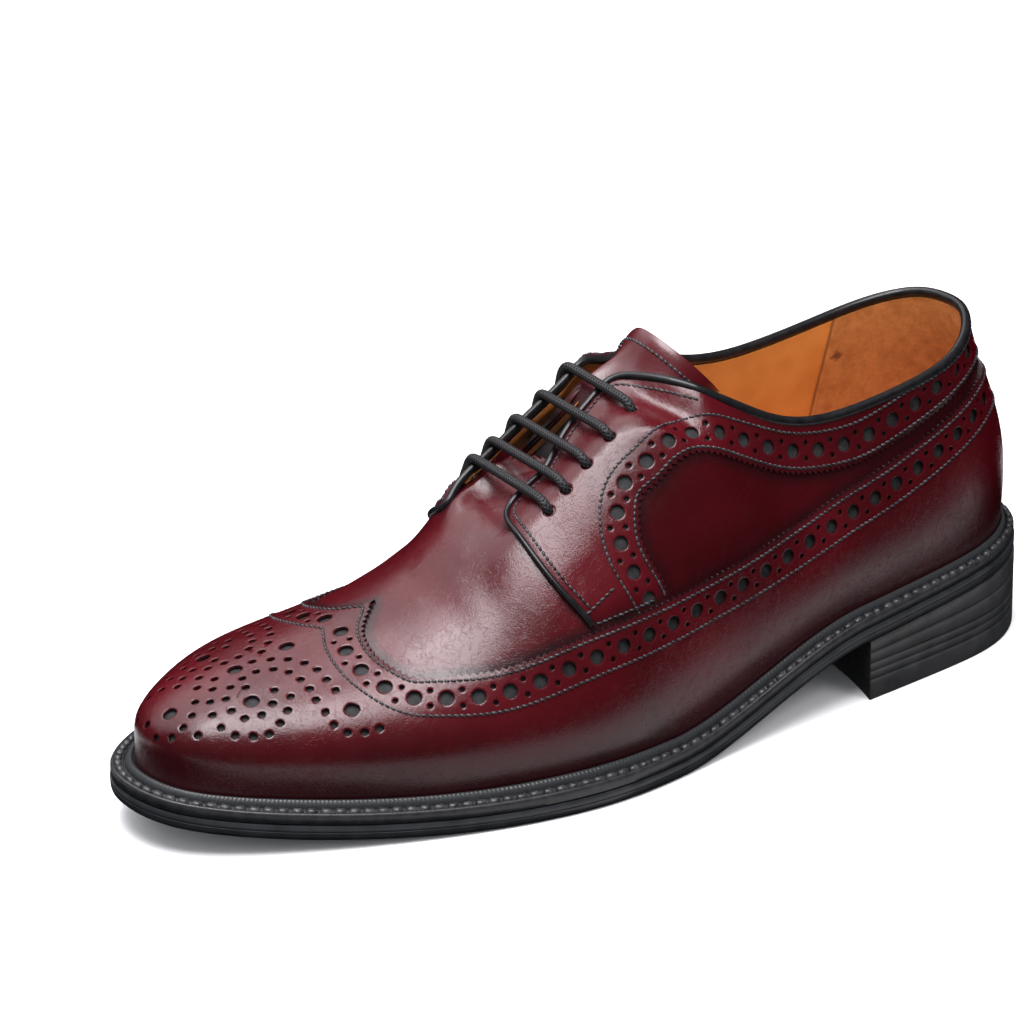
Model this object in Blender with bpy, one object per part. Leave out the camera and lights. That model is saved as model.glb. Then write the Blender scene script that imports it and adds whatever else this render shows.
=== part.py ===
"""Full brogue derby, one left shoe, built on one last function. Sizes in mm, objects in metres."""
import bmesh
import bpy
import numpy as np

NAME = "full_brogue_derby"
LENGTH = 304.0
BALL_WIDTH = 110.0
INSTEP = 112.0
HEEL_SEAT = 19.0
HEEL_RISE = 0.088
TOE_SPRING = 10.2
SOLE_EDGE = 8.4
WELT = 3.4
WALL = 2.6
STEP = 1.0
GAP = 0.3
MARGIN = 10.0
LASTED = 1.6
INSOLE = 2.5
TONGUE = 2.0
EYELET = 1.8
LACE = 1.45
PIPING = 1.45
PIPING_FACING = 1.0
MM = 0.001

BREAST = 0.25
ARCH_FRONT = 0.497
SPRING_START = 0.65
HEEL_FAN = 45.0
TOE_FAN = 250.0
FAN_SOFT = 12.0
THROAT = 0.608
FACING_END = 0.584
THROAT_HALF = 13.6

# share of length; lateral and medial half breadth as shares of the ball width
OUTLINE = (
    (0.020, 0.145, 0.155),
    (0.070, 0.250, 0.262),
    (0.160, 0.318, 0.318),
    (0.300, 0.385, 0.300),
    (0.440, 0.455, 0.300),
    (0.560, 0.525, 0.345),
    (0.670, 0.510, 0.430),
    (0.770, 0.445, 0.475),
    (0.860, 0.360, 0.427),
    (0.940, 0.258, 0.282),
    (0.985, 0.148, 0.138),
)

# share of length; welt width lateral and medial; bulge lateral and medial; height of the widest
# point over the feather line; handles of the curve at the widest point and at the top
SECTION = (
    (0.00, 5.0, 5.0, 0.6, 0.6, 17.0, 0.40, 0.40),
    (0.15, 5.0, 5.0, 1.8, 1.8, 17.0, 0.40, 0.40),
    (0.30, 6.0, 5.0, 2.5, 2.0, 17.0, 0.45, 0.40),
    (0.45, 6.5, 5.5, 2.5, 2.0, 16.0, 0.45, 0.54),
    (0.60, 7.5, 7.0, 2.0, 2.0, 15.0, 0.50, 0.50),
    (0.75, 7.5, 7.5, 1.5, 1.5, 13.0, 0.55, 0.45),
    (0.90, 7.5, 7.5, 1.0, 1.0, 11.0, 0.60, 0.50),
    (1.00, 7.5, 7.5, -0.6, -0.6, 10.0, 0.56, 0.55),
)

# share of length; distance of the top edge from the spine; its height over the floor, lateral and
# medial, as shares of the instep height; its lean from the level in degrees
TOP_EDGE = (
    (0.00, 26.4, 0.929, 0.929, 78.0),
    (0.02, 26.4, 0.919, 0.929, 78.0),
    (0.06, 26.4, 0.886, 0.915, 80.0),
    (0.12, 26.3, 0.839, 0.885, 82.0),
    (0.18, 26.2, 0.805, 0.855, 83.0),
    (0.24, 26.2, 0.780, 0.830, 82.0),
    (0.29, 26.2, 0.777, 0.820, 80.0),
    (0.34, 25.5, 0.815, 0.840, 72.0),
    (0.38, 22.8, 0.878, 0.888, 58.0),
    (0.42, 18.4, 0.942, 0.946, 40.0),
    (0.46, 8.0, 0.982, 0.982, 18.0),
    (0.50, 0.0, 0.922, 0.922, 0.0),
    (0.54, 0.0, 0.840, 0.840, 0.0),
    (0.58, 0.0, 0.755, 0.755, 0.0),
    (0.62, 0.0, 0.678, 0.678, 0.0),
    (0.66, 0.0, 0.587, 0.587, 0.0),
    (0.70, 0.0, 0.513, 0.513, 0.0),
    (0.74, 0.0, 0.460, 0.460, 0.0),
    (0.78, 0.0, 0.429, 0.429, 0.0),
    (0.82, 0.0, 0.406, 0.406, 0.0),
    (0.86, 0.0, 0.388, 0.388, 0.0),
    (0.90, 0.0, 0.375, 0.375, 0.0),
    (1.00, 0.0, 0.357, 0.357, 0.0),
)

# share of length; half opening at the top line between collar and throat
OPENING = (
    (0.400, 20.6),
    (0.420, 18.2),
    (0.445, 14.3),
    (0.470, 11.3),
    (0.495, 10.9),
    (0.520, 12.0),
    (0.545, 13.0),
    (0.584, 13.6),
)

# share of length; girth from the feather line to the wing's edge
WING = (
    (0.00, 54.5),
    (0.05, 53.8),
    (0.10, 50.8),
    (0.20, 43.6),
    (0.30, 40.4),
    (0.40, 43.4),
    (0.46, 45.4),
    (0.52, 44.2),
    (0.60, 41.2),
    (0.68, 37.0),
    (0.745, 38.6),
    (0.82, 36.5),
    (0.90, 33.0),
    (1.00, 30.0),
)

# share of length; girth from the feather line to the lower edge of the collar band
BAND = (
    (0.00, 58.0),
    (0.05, 57.2),
    (0.10, 54.2),
    (0.15, 50.4),
    (0.20, 47.2),
    (0.245, 46.0),
    (0.29, 49.0),
    (0.34, 57.5),
    (0.385, 69.5),
    (0.406, 75.2),
    (0.428, 79.8),
    (0.450, 81.0),
    (0.470, 78.8),
    (0.492, 74.3),
)

# rise from the wing's edge to the top line; share of length of the recess front, of the facing's
# front edge and of the wing's front edge at that rise
GUIDES = (
    (0.00, 0.486, 0.573, 0.745),
    (0.16, 0.500, 0.583, 0.757),
    (0.32, 0.507, 0.594, 0.764),
    (0.50, 0.493, 0.603, 0.765),
    (0.75, 0.480, 0.608, 0.757),
    (0.88, 0.474, 0.606, 0.745),
    (1.00, 0.470, 0.598, 0.731),
)
RECESS_CORNER = 0.50

# share of length and half span of each pair of eyelets, toe to ankle
EYELETS = (
    (0.578, 22.0),
    (0.557, 21.2),
    (0.532, 20.4),
    (0.505, 19.6),
    (0.478, 19.0),
)

# columns of the upper from heel to toe by zone, rows by zone
COLUMNS = {"recess": 14, "facing": 4, "throat": 2, "vamp": 6, "cap": 9}
ROWS = {"wing": 4, "recess": 4, "band": 5}


def spline(xs, ys):
    """Natural cubic spline through a table, held flat past its ends."""
    xs = np.asarray(xs, float)
    ys = np.asarray(ys, float)
    n = len(xs)
    h = np.diff(xs)
    grid = np.eye(n)
    rhs = np.zeros(n)
    for i in range(1, n - 1):
        grid[i, i - 1:i + 2] = h[i - 1], 2 * (h[i - 1] + h[i]), h[i]
        rhs[i] = 6 * ((ys[i + 1] - ys[i]) / h[i] - (ys[i] - ys[i - 1]) / h[i - 1])
    m = np.linalg.solve(grid, rhs)

    def value(x):
        x = np.clip(x, xs[0], xs[-1])
        k = np.clip(np.searchsorted(xs, x) - 1, 0, n - 2)
        t = x - xs[k]
        first = (ys[k + 1] - ys[k]) / h[k] - h[k] * (2 * m[k] + m[k + 1]) / 6
        return ys[k] + t * first + t * t * m[k] / 2 + t ** 3 * (m[k + 1] - m[k]) / (6 * h[k])

    return value


def columns(table):
    return np.array(table, float).T


def turn(share):
    """Turn round the outline: 0 at the heel, 1 at the toe, 2 at the heel again."""
    return np.arccos(1 - 2 * np.clip(share, 0, 1)) / np.pi


def share_of(w):
    return (1 - np.cos(np.pi * w)) / 2


def make_outline():
    share, lateral, medial = columns(OUTLINE)
    w = turn(share)
    ring = np.concatenate([[0], w, [1], 2 - w[::-1]])
    half = np.concatenate([[0], -lateral, [0], medial[::-1]]) * BALL_WIDTH
    return spline(np.concatenate([ring - 2, ring, ring + 2]), np.tile(half, 3))


HALF = make_outline()
SECTIONS = [spline(columns(SECTION)[0], c) for c in columns(SECTION)[1:]]
EDGE = [spline(columns(TOP_EDGE)[0], c) for c in columns(TOP_EDGE)[1:]]
OPEN_HALF = spline(*columns(OPENING))
WING_LINE = spline(*columns(WING))
BAND_LINE = spline(*columns(BAND))
GUIDE = [spline(columns(GUIDES)[0], c) for c in columns(GUIDES)[1:]]
_RING = HALF(np.linspace(0, 2, 2001))
SHIFT = (_RING.min() + _RING.max()) / 2


def sole_bottom(s):
    s = np.asarray(s, float)
    toe = TOE_SPRING * np.clip((s / LENGTH - SPRING_START) / (1 - SPRING_START), 0, None) ** 2
    front = ARCH_FRONT * LENGTH
    back = BREAST * LENGTH
    u = np.clip((front - s) / (front - back), 0, 1)
    arch = HEEL_SEAT * (3 * u ** 2 - 2 * u ** 3) + HEEL_RISE * (front - back) * (u ** 3 - u ** 2)
    return toe + arch + HEEL_RISE * np.clip(back - s, 0, None)


def sole_top(s):
    return sole_bottom(s) + SOLE_EDGE


def spine(s):
    """Station of the spine under the outline station s: fans at heel and toe."""
    low = HEEL_FAN + FAN_SOFT * np.log1p(np.exp((s - HEEL_FAN) / FAN_SOFT))
    return TOE_FAN - FAN_SOFT * np.log1p(np.exp((TOE_FAN - low) / FAN_SOFT))


def ray(w):
    """Spine station, direction and length of the ray to the outline at turn w."""
    w = w % 2
    s = LENGTH * share_of(w)
    y = float(HALF(w))
    c = float(spine(s))
    r = np.hypot(s - c, y)
    return c, (s - c) / r, y / r, r


def welt_width(w):
    return float(SECTIONS[0 if w % 2 <= 1 else 1](share_of(w % 2)))


def bezier(p0, p1, p2, p3, n):
    t = np.linspace(0, 1, n)[:, None]
    a = (1 - t) ** 3 * np.array(p0) + 3 * (1 - t) ** 2 * t * np.array(p1)
    return a + 3 * (1 - t) * t ** 2 * np.array(p2) + t ** 3 * np.array(p3)


def profile(w, n=40):
    """One section of the last in the plane of its ray: (radius, height) from feather to top."""
    w = w % 2
    lateral = w <= 1
    share = share_of(w)
    c, dx, dy, r_out = ray(w)
    k = [float(f(share)) for f in SECTIONS]
    bulge = k[2] if lateral else k[3]
    high, lift, flat = k[4:7]
    blend = np.clip((share - 0.24) / 0.12, 0, 1)
    at = share + (c / LENGTH - share) * blend * blend * (3 - 2 * blend)
    closed = at > 0.4985
    r_end = 0.0 if closed else max(float(EDGE[0](at)), 0.0)
    z_end = float(EDGE[1 if lateral else 2](at)) * INSTEP
    lean = 0.0 if closed else np.radians(np.clip(float(EDGE[3](at)), 0, 90))
    r_base = r_out - welt_width(w)
    z_base = float(sole_top(c + dx * r_base)) + GAP
    r_wide = r_base + bulge
    z_wide = z_base + high
    lower = bezier((r_base, z_base), (r_base + 0.6 * bulge, z_base + 0.35 * high),
                   (r_wide, z_base + 0.6 * high), (r_wide, z_wide), n)
    fall = 0.0
    if closed:
        fall = float(EDGE[1](at + 0.001) - EDGE[1](at - 0.001)) * INSTEP / (0.002 * LENGTH) * dx
    rise = z_end - z_wide
    run = r_wide - r_end
    steep = np.clip(lean / np.radians(80), 0, 1)
    reach = (1 - steep) * flat * run + steep * 0.35 * rise
    upper = bezier((r_wide, z_wide), (r_wide, z_wide + lift * rise),
                   (r_end + reach * np.cos(lean),
                    z_end - reach * np.sin(lean) + (1 - steep) * flat * run * fall),
                   (r_end, z_end), n)
    return np.concatenate([lower, upper[1:]]), (c, dx, dy)


def girth(points):
    return np.concatenate([[0], np.cumsum(np.hypot(*np.diff(points, axis=0).T))])


def opening_half(w):
    """Half opening of the throat at turn w, 0 ahead of it, None behind it at the collar."""
    share = share_of(w % 2)
    if share < 0.40:
        return None
    if share <= FACING_END:
        return float(OPEN_HALF(share))
    if share >= THROAT:
        return 0.0
    return THROAT_HALF * np.sqrt(1 - ((share - FACING_END) / (THROAT - FACING_END)) ** 2)


def top_girth(w):
    """Girth from the feather line to the top line, throat edge or ridge."""
    points, _ = profile(w)
    g = girth(points)
    half = opening_half(w)
    if half is None or half <= points[-1, 0]:
        return g[-1]
    return float(np.interp(-half, -points[30:, 0], g[30:]))


def last(w, g):
    """Point of the last at turn w and girth g over the feather line."""
    points, (c, dx, dy) = profile(w)
    length = girth(points)
    r = np.interp(g, length, points[:, 0])
    z = np.interp(g, length, points[:, 1])
    if g > length[-1]:
        over = (points[-1] - points[-2]) / np.hypot(*(points[-1] - points[-2]))
        r = points[-1, 0] + over[0] * (g - length[-1])
        z = points[-1, 1] + over[1] * (g - length[-1])
    return np.array([c + dx * r, dy * r, z])


def normal(w, g):
    """Outward direction of the last."""
    low = max(g - 0.6, 0.0)
    along = last(w + 0.003, g) - last(w - 0.003, g)
    up = last(w, g + 0.6) - last(w, low)
    n = np.cross(along, up)
    return n / np.linalg.norm(n)


def ridge_normal(s):
    """Outward direction on the ridge of the vamp and cap, from the fall of the ridge."""
    share = s / LENGTH
    fall = float(EDGE[1](share + 0.002) - EDGE[1](share - 0.002)) * INSTEP / (0.004 * LENGTH)
    return np.array([-fall, 0.0, 1.0]) / np.hypot(fall, 1.0)


def wing_girth(w):
    return float(WING_LINE(share_of(w % 2)))


def band_girth(w):
    """The band keeps its width under the top line on both sides."""
    share = share_of(w % 2)
    side = turn(share)
    return float(BAND_LINE(share)) + top_girth(w) - top_girth(side)


def guide_turns(v):
    """Turns of the zone limits at the rise v, heel to toe."""
    recess, facing, cap = (float(f(v)) for f in GUIDE)
    throat = facing + 0.035 + (THROAT - 0.598 - 0.035) * v
    return [0.0, float(turn(recess)), float(turn(facing)), float(turn(throat)), float(turn(cap)), 1.0]


def column_turn(k, v):
    at = guide_turns(v)
    for zone, count in enumerate(COLUMNS.values()):
        if k <= count:
            return at[zone] + (at[zone + 1] - at[zone]) * k / count
        k -= count
    return 1.0


def zone_of(k):
    for zone, count in COLUMNS.items():
        if k < count:
            return zone
        k -= count
    return "cap"


def grid_point(side, k, j):
    """Turn and girth of the grid point in column k and row j of one side."""
    def placed(v):
        w = column_turn(k, v)
        return w if side < 0 else 2 - w

    if j <= ROWS["wing"]:
        w = placed(0.0)
        return w, wing_girth(w) * j / ROWS["wing"]
    corner = RECESS_CORNER
    if k < COLUMNS["recess"]:
        for _ in range(6):
            w = placed(corner)
            low = wing_girth(w)
            corner = (band_girth(w) - low) / (top_girth(w) - low)
    row = j - ROWS["wing"]
    if row <= ROWS["recess"]:
        v = corner * row / ROWS["recess"]
    else:
        v = corner + (1 - corner) * (row - ROWS["recess"]) / ROWS["band"]
    w = placed(v)
    low = wing_girth(w)
    return w, low + v * (top_girth(w) - low)


def to_world(p):
    return ((LENGTH / 2 - p[0]) * MM, (p[1] - SHIFT) * MM, p[2] * MM)


def material(name, colour, rough):
    mat = bpy.data.materials.new(name)
    mat.use_nodes = True
    shader = mat.node_tree.nodes["Principled BSDF"]
    shader.inputs["Base Color"].default_value = (*colour, 1.0)
    shader.inputs["Roughness"].default_value = rough
    return mat


def add_object(name, mesh, home, mat):
    obj = bpy.data.objects.new(name, mesh)
    obj.data.materials.append(mat)
    home.objects.link(obj)
    return obj


def mesh_from(name, verts, faces):
    mesh = bpy.data.meshes.new(name)
    mesh.from_pydata([to_world(v) for v in verts], [], faces)
    bm = bmesh.new()
    bm.from_mesh(mesh)
    bmesh.ops.recalc_face_normals(bm, faces=bm.faces)
    bm.to_mesh(mesh)
    bm.free()
    return mesh


class Shell:
    """Vertices by key, so that neighbouring faces share them."""

    def __init__(self):
        self.index = {}
        self.verts = []
        self.faces = []

    def vert(self, key, make):
        if key not in self.index:
            self.index[key] = len(self.verts)
            self.verts.append(make())
        return self.index[key]

    def face(self, *ids):
        ids = [v for i, v in enumerate(ids) if v != ids[i - 1]]
        if len(set(ids)) >= 3:
            self.faces.append(ids)


def build_upper():
    """Hollow wall on the last, with the wing and the facing band standing proud of it."""
    total = sum(COLUMNS.values())
    rows = sum(ROWS.values())
    throat = COLUMNS["recess"] + COLUMNS["facing"] + COLUMNS["throat"]
    wing_row = ROWS["wing"]
    band_row = wing_row + ROWS["recess"]
    shell = Shell()
    frames = {}

    def name_of(side, k, j):
        if k == 0 or k == total or (j == rows and k >= throat):
            return (-1, k, j)
        return (side, k, j)

    def frame_of(key):
        if key not in frames:
            w, g = grid_point(*key)
            p = last(w, g)
            n = normal(w, g)
            if key[2] == rows and key[1] >= throat:
                n = ridge_normal(p[0])
            elif key[1] in (0, total):
                n = np.array([n[0], 0.0, n[2]])
                n = n / np.linalg.norm(n)
            frames[key] = (w, p, n)
        return frames[key]

    def proud(k, j):
        """Whether the quad between columns k, k+1 and rows j, j+1 stands proud."""
        zone = zone_of(k)
        if j < wing_row or zone == "cap":
            return True
        if zone == "recess":
            return j >= band_row
        return zone == "facing"

    def outer(side, k, j, high):
        key = name_of(side, k, j)
        w, p, n = frame_of(key)
        return shell.vert(("out", key, high), lambda: p if high else p - STEP * n)

    def inner(side, k, j):
        key = name_of(side, k, j)
        w, p, n = frame_of(key)

        def make():
            if j > 0:
                return p - WALL * n
            c, dx, dy, r = ray(w)
            r = r - welt_width(w) - WALL
            s = c + dx * r
            return np.array([s, dy * r, float(sole_top(s)) + GAP + LASTED])

        return shell.vert(("in", key), make)

    def margin(side, k, lift):
        key = name_of(side, k, 0)
        w, p, n = frame_of(key)

        def make():
            c, dx, dy, r = ray(w)
            r = r - welt_width(w) - MARGIN
            s = c + dx * r
            return np.array([s, dy * r, float(sole_top(s)) + GAP + lift])

        return shell.vert(("margin", key, lift), make)

    for side in (-1, 1):
        for k in range(total):
            for j in range(rows):
                high = proud(k, j)
                shell.face(outer(side, k, j, high), outer(side, k + 1, j, high),
                           outer(side, k + 1, j + 1, high), outer(side, k, j + 1, high))
                shell.face(inner(side, k, j), inner(side, k, j + 1),
                           inner(side, k + 1, j + 1), inner(side, k + 1, j))
                if j + 1 < rows and proud(k, j + 1) != high:
                    shell.face(outer(side, k, j + 1, False), outer(side, k + 1, j + 1, False),
                               outer(side, k + 1, j + 1, True), outer(side, k, j + 1, True))
                if k + 1 < total and proud(k + 1, j) != high:
                    shell.face(outer(side, k + 1, j, False), outer(side, k + 1, j + 1, False),
                               outer(side, k + 1, j + 1, True), outer(side, k + 1, j, True))
            if k < throat:
                high = proud(k, rows - 1)
                rim = [outer(side, k, rows, high), outer(side, k + 1, rows, high)]
                if high and k + 1 < total and not proud(k + 1, rows - 1):
                    rim.append(outer(side, k + 1, rows, False))
                shell.face(*rim, inner(side, k + 1, rows), inner(side, k, rows))
            shell.face(outer(side, k, 0, True), outer(side, k + 1, 0, True),
                       margin(side, k + 1, 0.0), margin(side, k, 0.0))
            shell.face(inner(side, k, 0), inner(side, k + 1, 0),
                       margin(side, k + 1, LASTED), margin(side, k, LASTED))
            shell.face(margin(side, k, 0.0), margin(side, k + 1, 0.0),
                       margin(side, k + 1, LASTED), margin(side, k, LASTED))
    return mesh_from("upper", shell.verts, shell.faces)


def station_turns(count):
    return np.linspace(0, 1, count + 1)


def slab(name, inset, levels, count=40, reach=None):
    """Solid between two heights over an inset outline; levels are (height, extra inset) rows."""
    turns = station_turns(count)
    shell = Shell()

    def point(side, k, level):
        key = (-1 if k in (0, count) else side, k, level)

        def make():
            w = turns[k] if key[0] < 0 else 2 - turns[k]
            height, extra = levels[level]
            c, dx, dy, r = ray(w)
            r = r - inset(w) - extra
            s = c + dx * r
            return np.array([s, dy * r, float(height(s))])

        return shell.vert(key, make)

    end = len(levels) - 1
    for k in range(count):
        for level in (0, end):
            shell.face(point(-1, k, level), point(1, k, level),
                       point(1, k + 1, level), point(-1, k + 1, level))
        for side in (-1, 1):
            for level in range(end):
                shell.face(point(side, k, level), point(side, k + 1, level),
                           point(side, k + 1, level + 1), point(side, k, level + 1))
    return mesh_from(name, shell.verts, shell.faces)


def build_outsole():
    """Slab under the welt: toe spring, arch and the seat of the heel, with a trimmed edge."""
    def over(lift):
        return lambda s: sole_bottom(s) + lift

    thick = SOLE_EDGE - WELT - GAP
    levels = [(over(0.0), 1.2), (over(0.9), 0.0), (over(thick * 0.48), 0.0),
              (over(thick * 0.54), 0.5), (over(thick * 0.60), 0.0), (over(thick), 0.0)]
    return slab("outsole", lambda w: 0.0, levels, 46)


def build_insole():
    base = GAP + LASTED + 0.5

    def over(lift):
        return lambda s: sole_top(s) + base + lift

    return slab("insole", lambda w: welt_width(w) + WALL + 1.2,
                [(over(0.0), 0.0), (over(INSOLE), 0.0)], 60)


def build_welt():
    """Ring round the whole shoe with a raised bead against the upper."""
    count = 72
    shell = Shell()

    def ring(i):
        w = 2.0 * (i % count) / count
        c, dx, dy, r_out = ray(w)
        width = welt_width(w)
        base = r_out - width
        rows = [
            (base - MARGIN - 2.0, -WELT),
            (r_out - 0.7, -WELT),
            (r_out - 0.4, -WELT * 0.5),
            (r_out - 0.7, 0.0),
            (base + 0.62 * width, 0.0),
            (base + 0.56 * width, 1.5),
            (base + 0.40 * width, 2.1),
            (base + 0.26 * width, 1.5),
            (base + 0.20 * width, 0.0),
            (base - MARGIN - 2.0, 0.0),
        ]
        ids = []
        for n, (r, lift) in enumerate(rows):
            s = c + dx * r
            p = np.array([s, dy * r, float(sole_top(s)) + lift])
            ids.append(shell.vert((i % count, n), lambda p=p: p))
        return ids

    for i in range(count):
        a = ring(i)
        b = ring(i + 1)
        for n in range(len(a)):
            m = (n + 1) % len(a)
            shell.face(a[n], a[m], b[m], b[n])
    return mesh_from("welt", shell.verts, shell.faces)


def heel_outline(extra):
    """Plan of the heel from the lateral breast corner round the back to the medial one."""
    front = float(turn(BREAST))
    points = []
    for w in np.linspace(front, -front, 33):
        c, dx, dy, r = ray(w)
        points.append((c + dx * (r - extra), dy * (r - extra)))
    a = np.array(points[-1])
    b = np.array(points[0])
    for t in np.linspace(0, 1, 9)[1:-1]:
        p = a + (b - a) * t
        points.append((p[0] - 5.0 * (1 - (2 * t - 1) ** 2), p[1]))
    return points


def build_lift(name, low, high):
    """One lift of the heel, its edge trimmed round above and below."""
    rings = [(low, 0.4, 0.0), (low, 0.0, 0.4), (high, 0.0, -0.4), (high, 0.4, 0.0)]
    verts = []
    for height, extra, lift in rings:
        verts += [np.array([s, y, float(height(s)) + lift]) for s, y in heel_outline(extra)]
    n = len(verts) // len(rings)
    faces = [list(range(n)), list(range(3 * n, 4 * n))]
    for level in range(3):
        for i in range(n):
            j = (i + 1) % n
            faces.append([level * n + i, level * n + j, (level + 1) * n + j, (level + 1) * n + i])
    return mesh_from(name, verts, faces)


def heel_lifts():
    """Top piece on the floor, then lifts; the upper one takes up the rise of the seat."""
    def flat(z):
        return lambda s: z

    def seat(s):
        back = BREAST * LENGTH
        return HEEL_SEAT + HEEL_RISE * (back - s) - GAP

    return (
        ("heel_top_piece", flat(0.0), flat(6.6)),
        ("heel_lift_lower", flat(6.6 + GAP), flat(12.0)),
        ("heel_lift_upper", flat(12.0 + GAP), seat),
    )


def tongue_point(t, a, depth):
    """Point of the tongue: t from under the vamp to its free end, a across it from -1 to 1."""
    stop = 0.50
    start = 0.632
    end = 0.430
    climb = 0.765
    curl = 12.8
    reach = 28.0
    s = start + (end - start) * t
    side = float(turn(max(s, stop)))
    side = side if a <= 0 else 2 - side
    full = girth(profile(side)[0])[-1]

    def under(g):
        n = normal(side, min(g, full - 0.7))
        if full - g < 1e-6:
            n = np.array([n[0], 0.0, n[2]])
            n = n / np.linalg.norm(n)
        return last(side, g) - depth * n

    p = under(full - reach * abs(a))
    if s < stop:
        out = (stop - s) * LENGTH
        blend = min(out / 22.0, 1.0)
        blend = blend * blend * (3 - 2 * blend)
        bend = reach * 0.84 * a / curl
        round_ = curl - (depth - WALL - 0.9)
        arc = under(full) + np.array([0.0, round_ * np.sin(bend), round_ * (np.cos(bend) - 1)])
        p = p + (arc - p) * blend + np.array([-out, 0.0, climb * out])
    return p


def build_tongue():
    """Sheet under the facings, rounded at its free end."""
    along = 15
    across = 12
    shell = Shell()

    def vert(i, j, depth):
        a = -1 + 2 * j / across
        end = 1 + 0.14 * a * a
        t = i / along * end
        return shell.vert((i, j, depth), lambda: tongue_point(t, a, depth))

    top = WALL + 0.9
    low = top + TONGUE
    for i in range(along):
        for j in range(across):
            shell.face(vert(i, j, top), vert(i, j + 1, top),
                       vert(i + 1, j + 1, top), vert(i + 1, j, top))
            shell.face(vert(i, j, low), vert(i + 1, j, low),
                       vert(i + 1, j + 1, low), vert(i, j + 1, low))
    for i in range(along):
        for j in (0, across):
            shell.face(vert(i, j, top), vert(i + 1, j, top), vert(i + 1, j, low), vert(i, j, low))
    for j in range(across):
        for i in (0, along):
            shell.face(vert(i, j, top), vert(i, j + 1, top), vert(i, j + 1, low), vert(i, j, low))
    return mesh_from("tongue", shell.verts, shell.faces)


def tube(name, points, radius, home, mat, sides=3, taper=None):
    """Round cord through the points, closed at both ends; taper scales it point by point."""
    data = bpy.data.curves.new(name, "CURVE")
    data.dimensions = "3D"
    data.bevel_depth = radius * MM
    data.bevel_resolution = sides
    data.use_fill_caps = True
    line = data.splines.new("POLY")
    line.points.add(len(points) - 1)
    for i, (knot, p) in enumerate(zip(line.points, points)):
        knot.co = (*to_world(p), 1.0)
        knot.radius = 1.0 if taper is None else taper[i]
    obj = bpy.data.objects.new(name, data)
    obj.data.materials.append(mat)
    home.objects.link(obj)
    return obj


def resample(points, step):
    points = np.array(points)
    step_of = np.linalg.norm(np.diff(points[:, :3], axis=0), axis=1)
    length = np.concatenate([[0], np.cumsum(step_of)])
    at = np.linspace(0, length[-1], max(int(length[-1] / step), 2) + 1)
    return np.stack([np.interp(at, length, c) for c in points.T], 1)


def smoothed(points, times):
    points = np.array(points)
    for _ in range(times):
        points[1:-1] = points[1:-1] / 2 + (points[:-2] + points[2:]) / 4
    return points


def piping_path():
    """Line beside the facing's front edge, then over the top line of both sides."""
    half = [(guide_turns(v)[2], v, 1.0) for v in np.linspace(0.09, 0.95, 16)]
    for share in np.linspace(0.595, 0.0, 60):
        half.append((float(turn(share)), 1.0, np.clip((share - 0.42) / 0.08, 0, 1)))
    edge = half + [(2 - w, v, facing) for w, v, facing in half[-2::-1]]
    base = []
    out = []
    for w, v, facing in edge:
        low = wing_girth(w)
        g = low + v * (top_girth(w) - low)
        base.append(last(w, g))
        out.append(normal(w, g))
    base = np.array(base)
    out = np.array(out)
    run = np.gradient(smoothed(base, 2), axis=0)
    side = np.cross(run, out)
    side /= np.linalg.norm(side, axis=1)[:, None]
    facing = np.array([f for _, _, f in edge])[:, None]
    radius = PIPING + (PIPING_FACING - PIPING) * facing
    over = (PIPING_FACING - STEP + 0.5) * facing - WALL / 2 * (1 - facing)
    turn_at = np.arange(len(edge)) - 15.5
    turn_at = np.minimum(abs(turn_at), abs(turn_at - len(edge) + 32))[:, None]
    over = over + 1.2 * np.exp(-(turn_at / 2.8) ** 2)
    path = base + side * (radius + 0.6) + out * over
    line = resample(np.hstack([smoothed(path, 2), radius / PIPING]), 4.2)
    return line[:, :3], line[:, 3]


def eyelet_frame(share, half, side):
    """Centre, outward direction and turn of one eyelet."""
    w = float(turn(share))
    w = w if side < 0 else 2 - w
    points, _ = profile(w)
    g = float(np.interp(-half, -points[39:, 0], girth(points)[39:]))
    return last(w, g), normal(w, g)


def lace_path(share, half):
    """One bar, from over one eyelet to over the other, above piping and tongue."""
    ends = [eyelet_frame(share, half, side) for side in (-1, 1)]
    a, b = [p + (LACE + GAP + 0.2) * n for p, n in ends]
    w = float(turn(share))
    edges = [last(at, top_girth(at))[2] for at in (w, 2 - w)]
    crest = [z + 2 * PIPING_FACING + LACE + more for z, more in zip(edges, (1.0, 1.8))]
    shoulder = opening_half(w) + 1.6
    path = []
    for t in np.linspace(0, 1, 15):
        p = a + (b - a) * t
        lift = np.clip((half - abs(p[1])) / (half - shoulder), 0, 1)
        over = crest[0] + (crest[1] - crest[0]) * np.clip((t - 0.32) / 0.36, 0, 1)
        p[2] += (over - p[2]) * np.sin(lift * np.pi / 2)
        path.append(p)
    return smoothed(path, 1)


def cut_eyelets(upper, home):
    """Punch the eyelets through both facings."""
    for row, (share, half) in enumerate(EYELETS, 1):
        for side, label in ((-1, "lateral"), (1, "medial")):
            p, n = eyelet_frame(share, half, side)
            ends = [p + 4 * n, p - 6 * n]
            cutter = tube(f"cut_eyelet_{label}_{row}", ends, EYELET, home, upper.data.materials[0])
            cutter.hide_render = True
            cutter.display_type = "WIRE"
            bpy.context.view_layer.update()
            mesh = bpy.data.meshes.new_from_object(cutter)
            solid = bpy.data.objects.new(cutter.name + "_solid", mesh)
            solid.hide_render = True
            solid.display_type = "WIRE"
            home.objects.link(solid)
            bpy.data.objects.remove(cutter)
            cut = upper.modifiers.new(solid.name, "BOOLEAN")
            cut.operation = "DIFFERENCE"
            cut.solver = "EXACT"
            cut.object = solid


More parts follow.
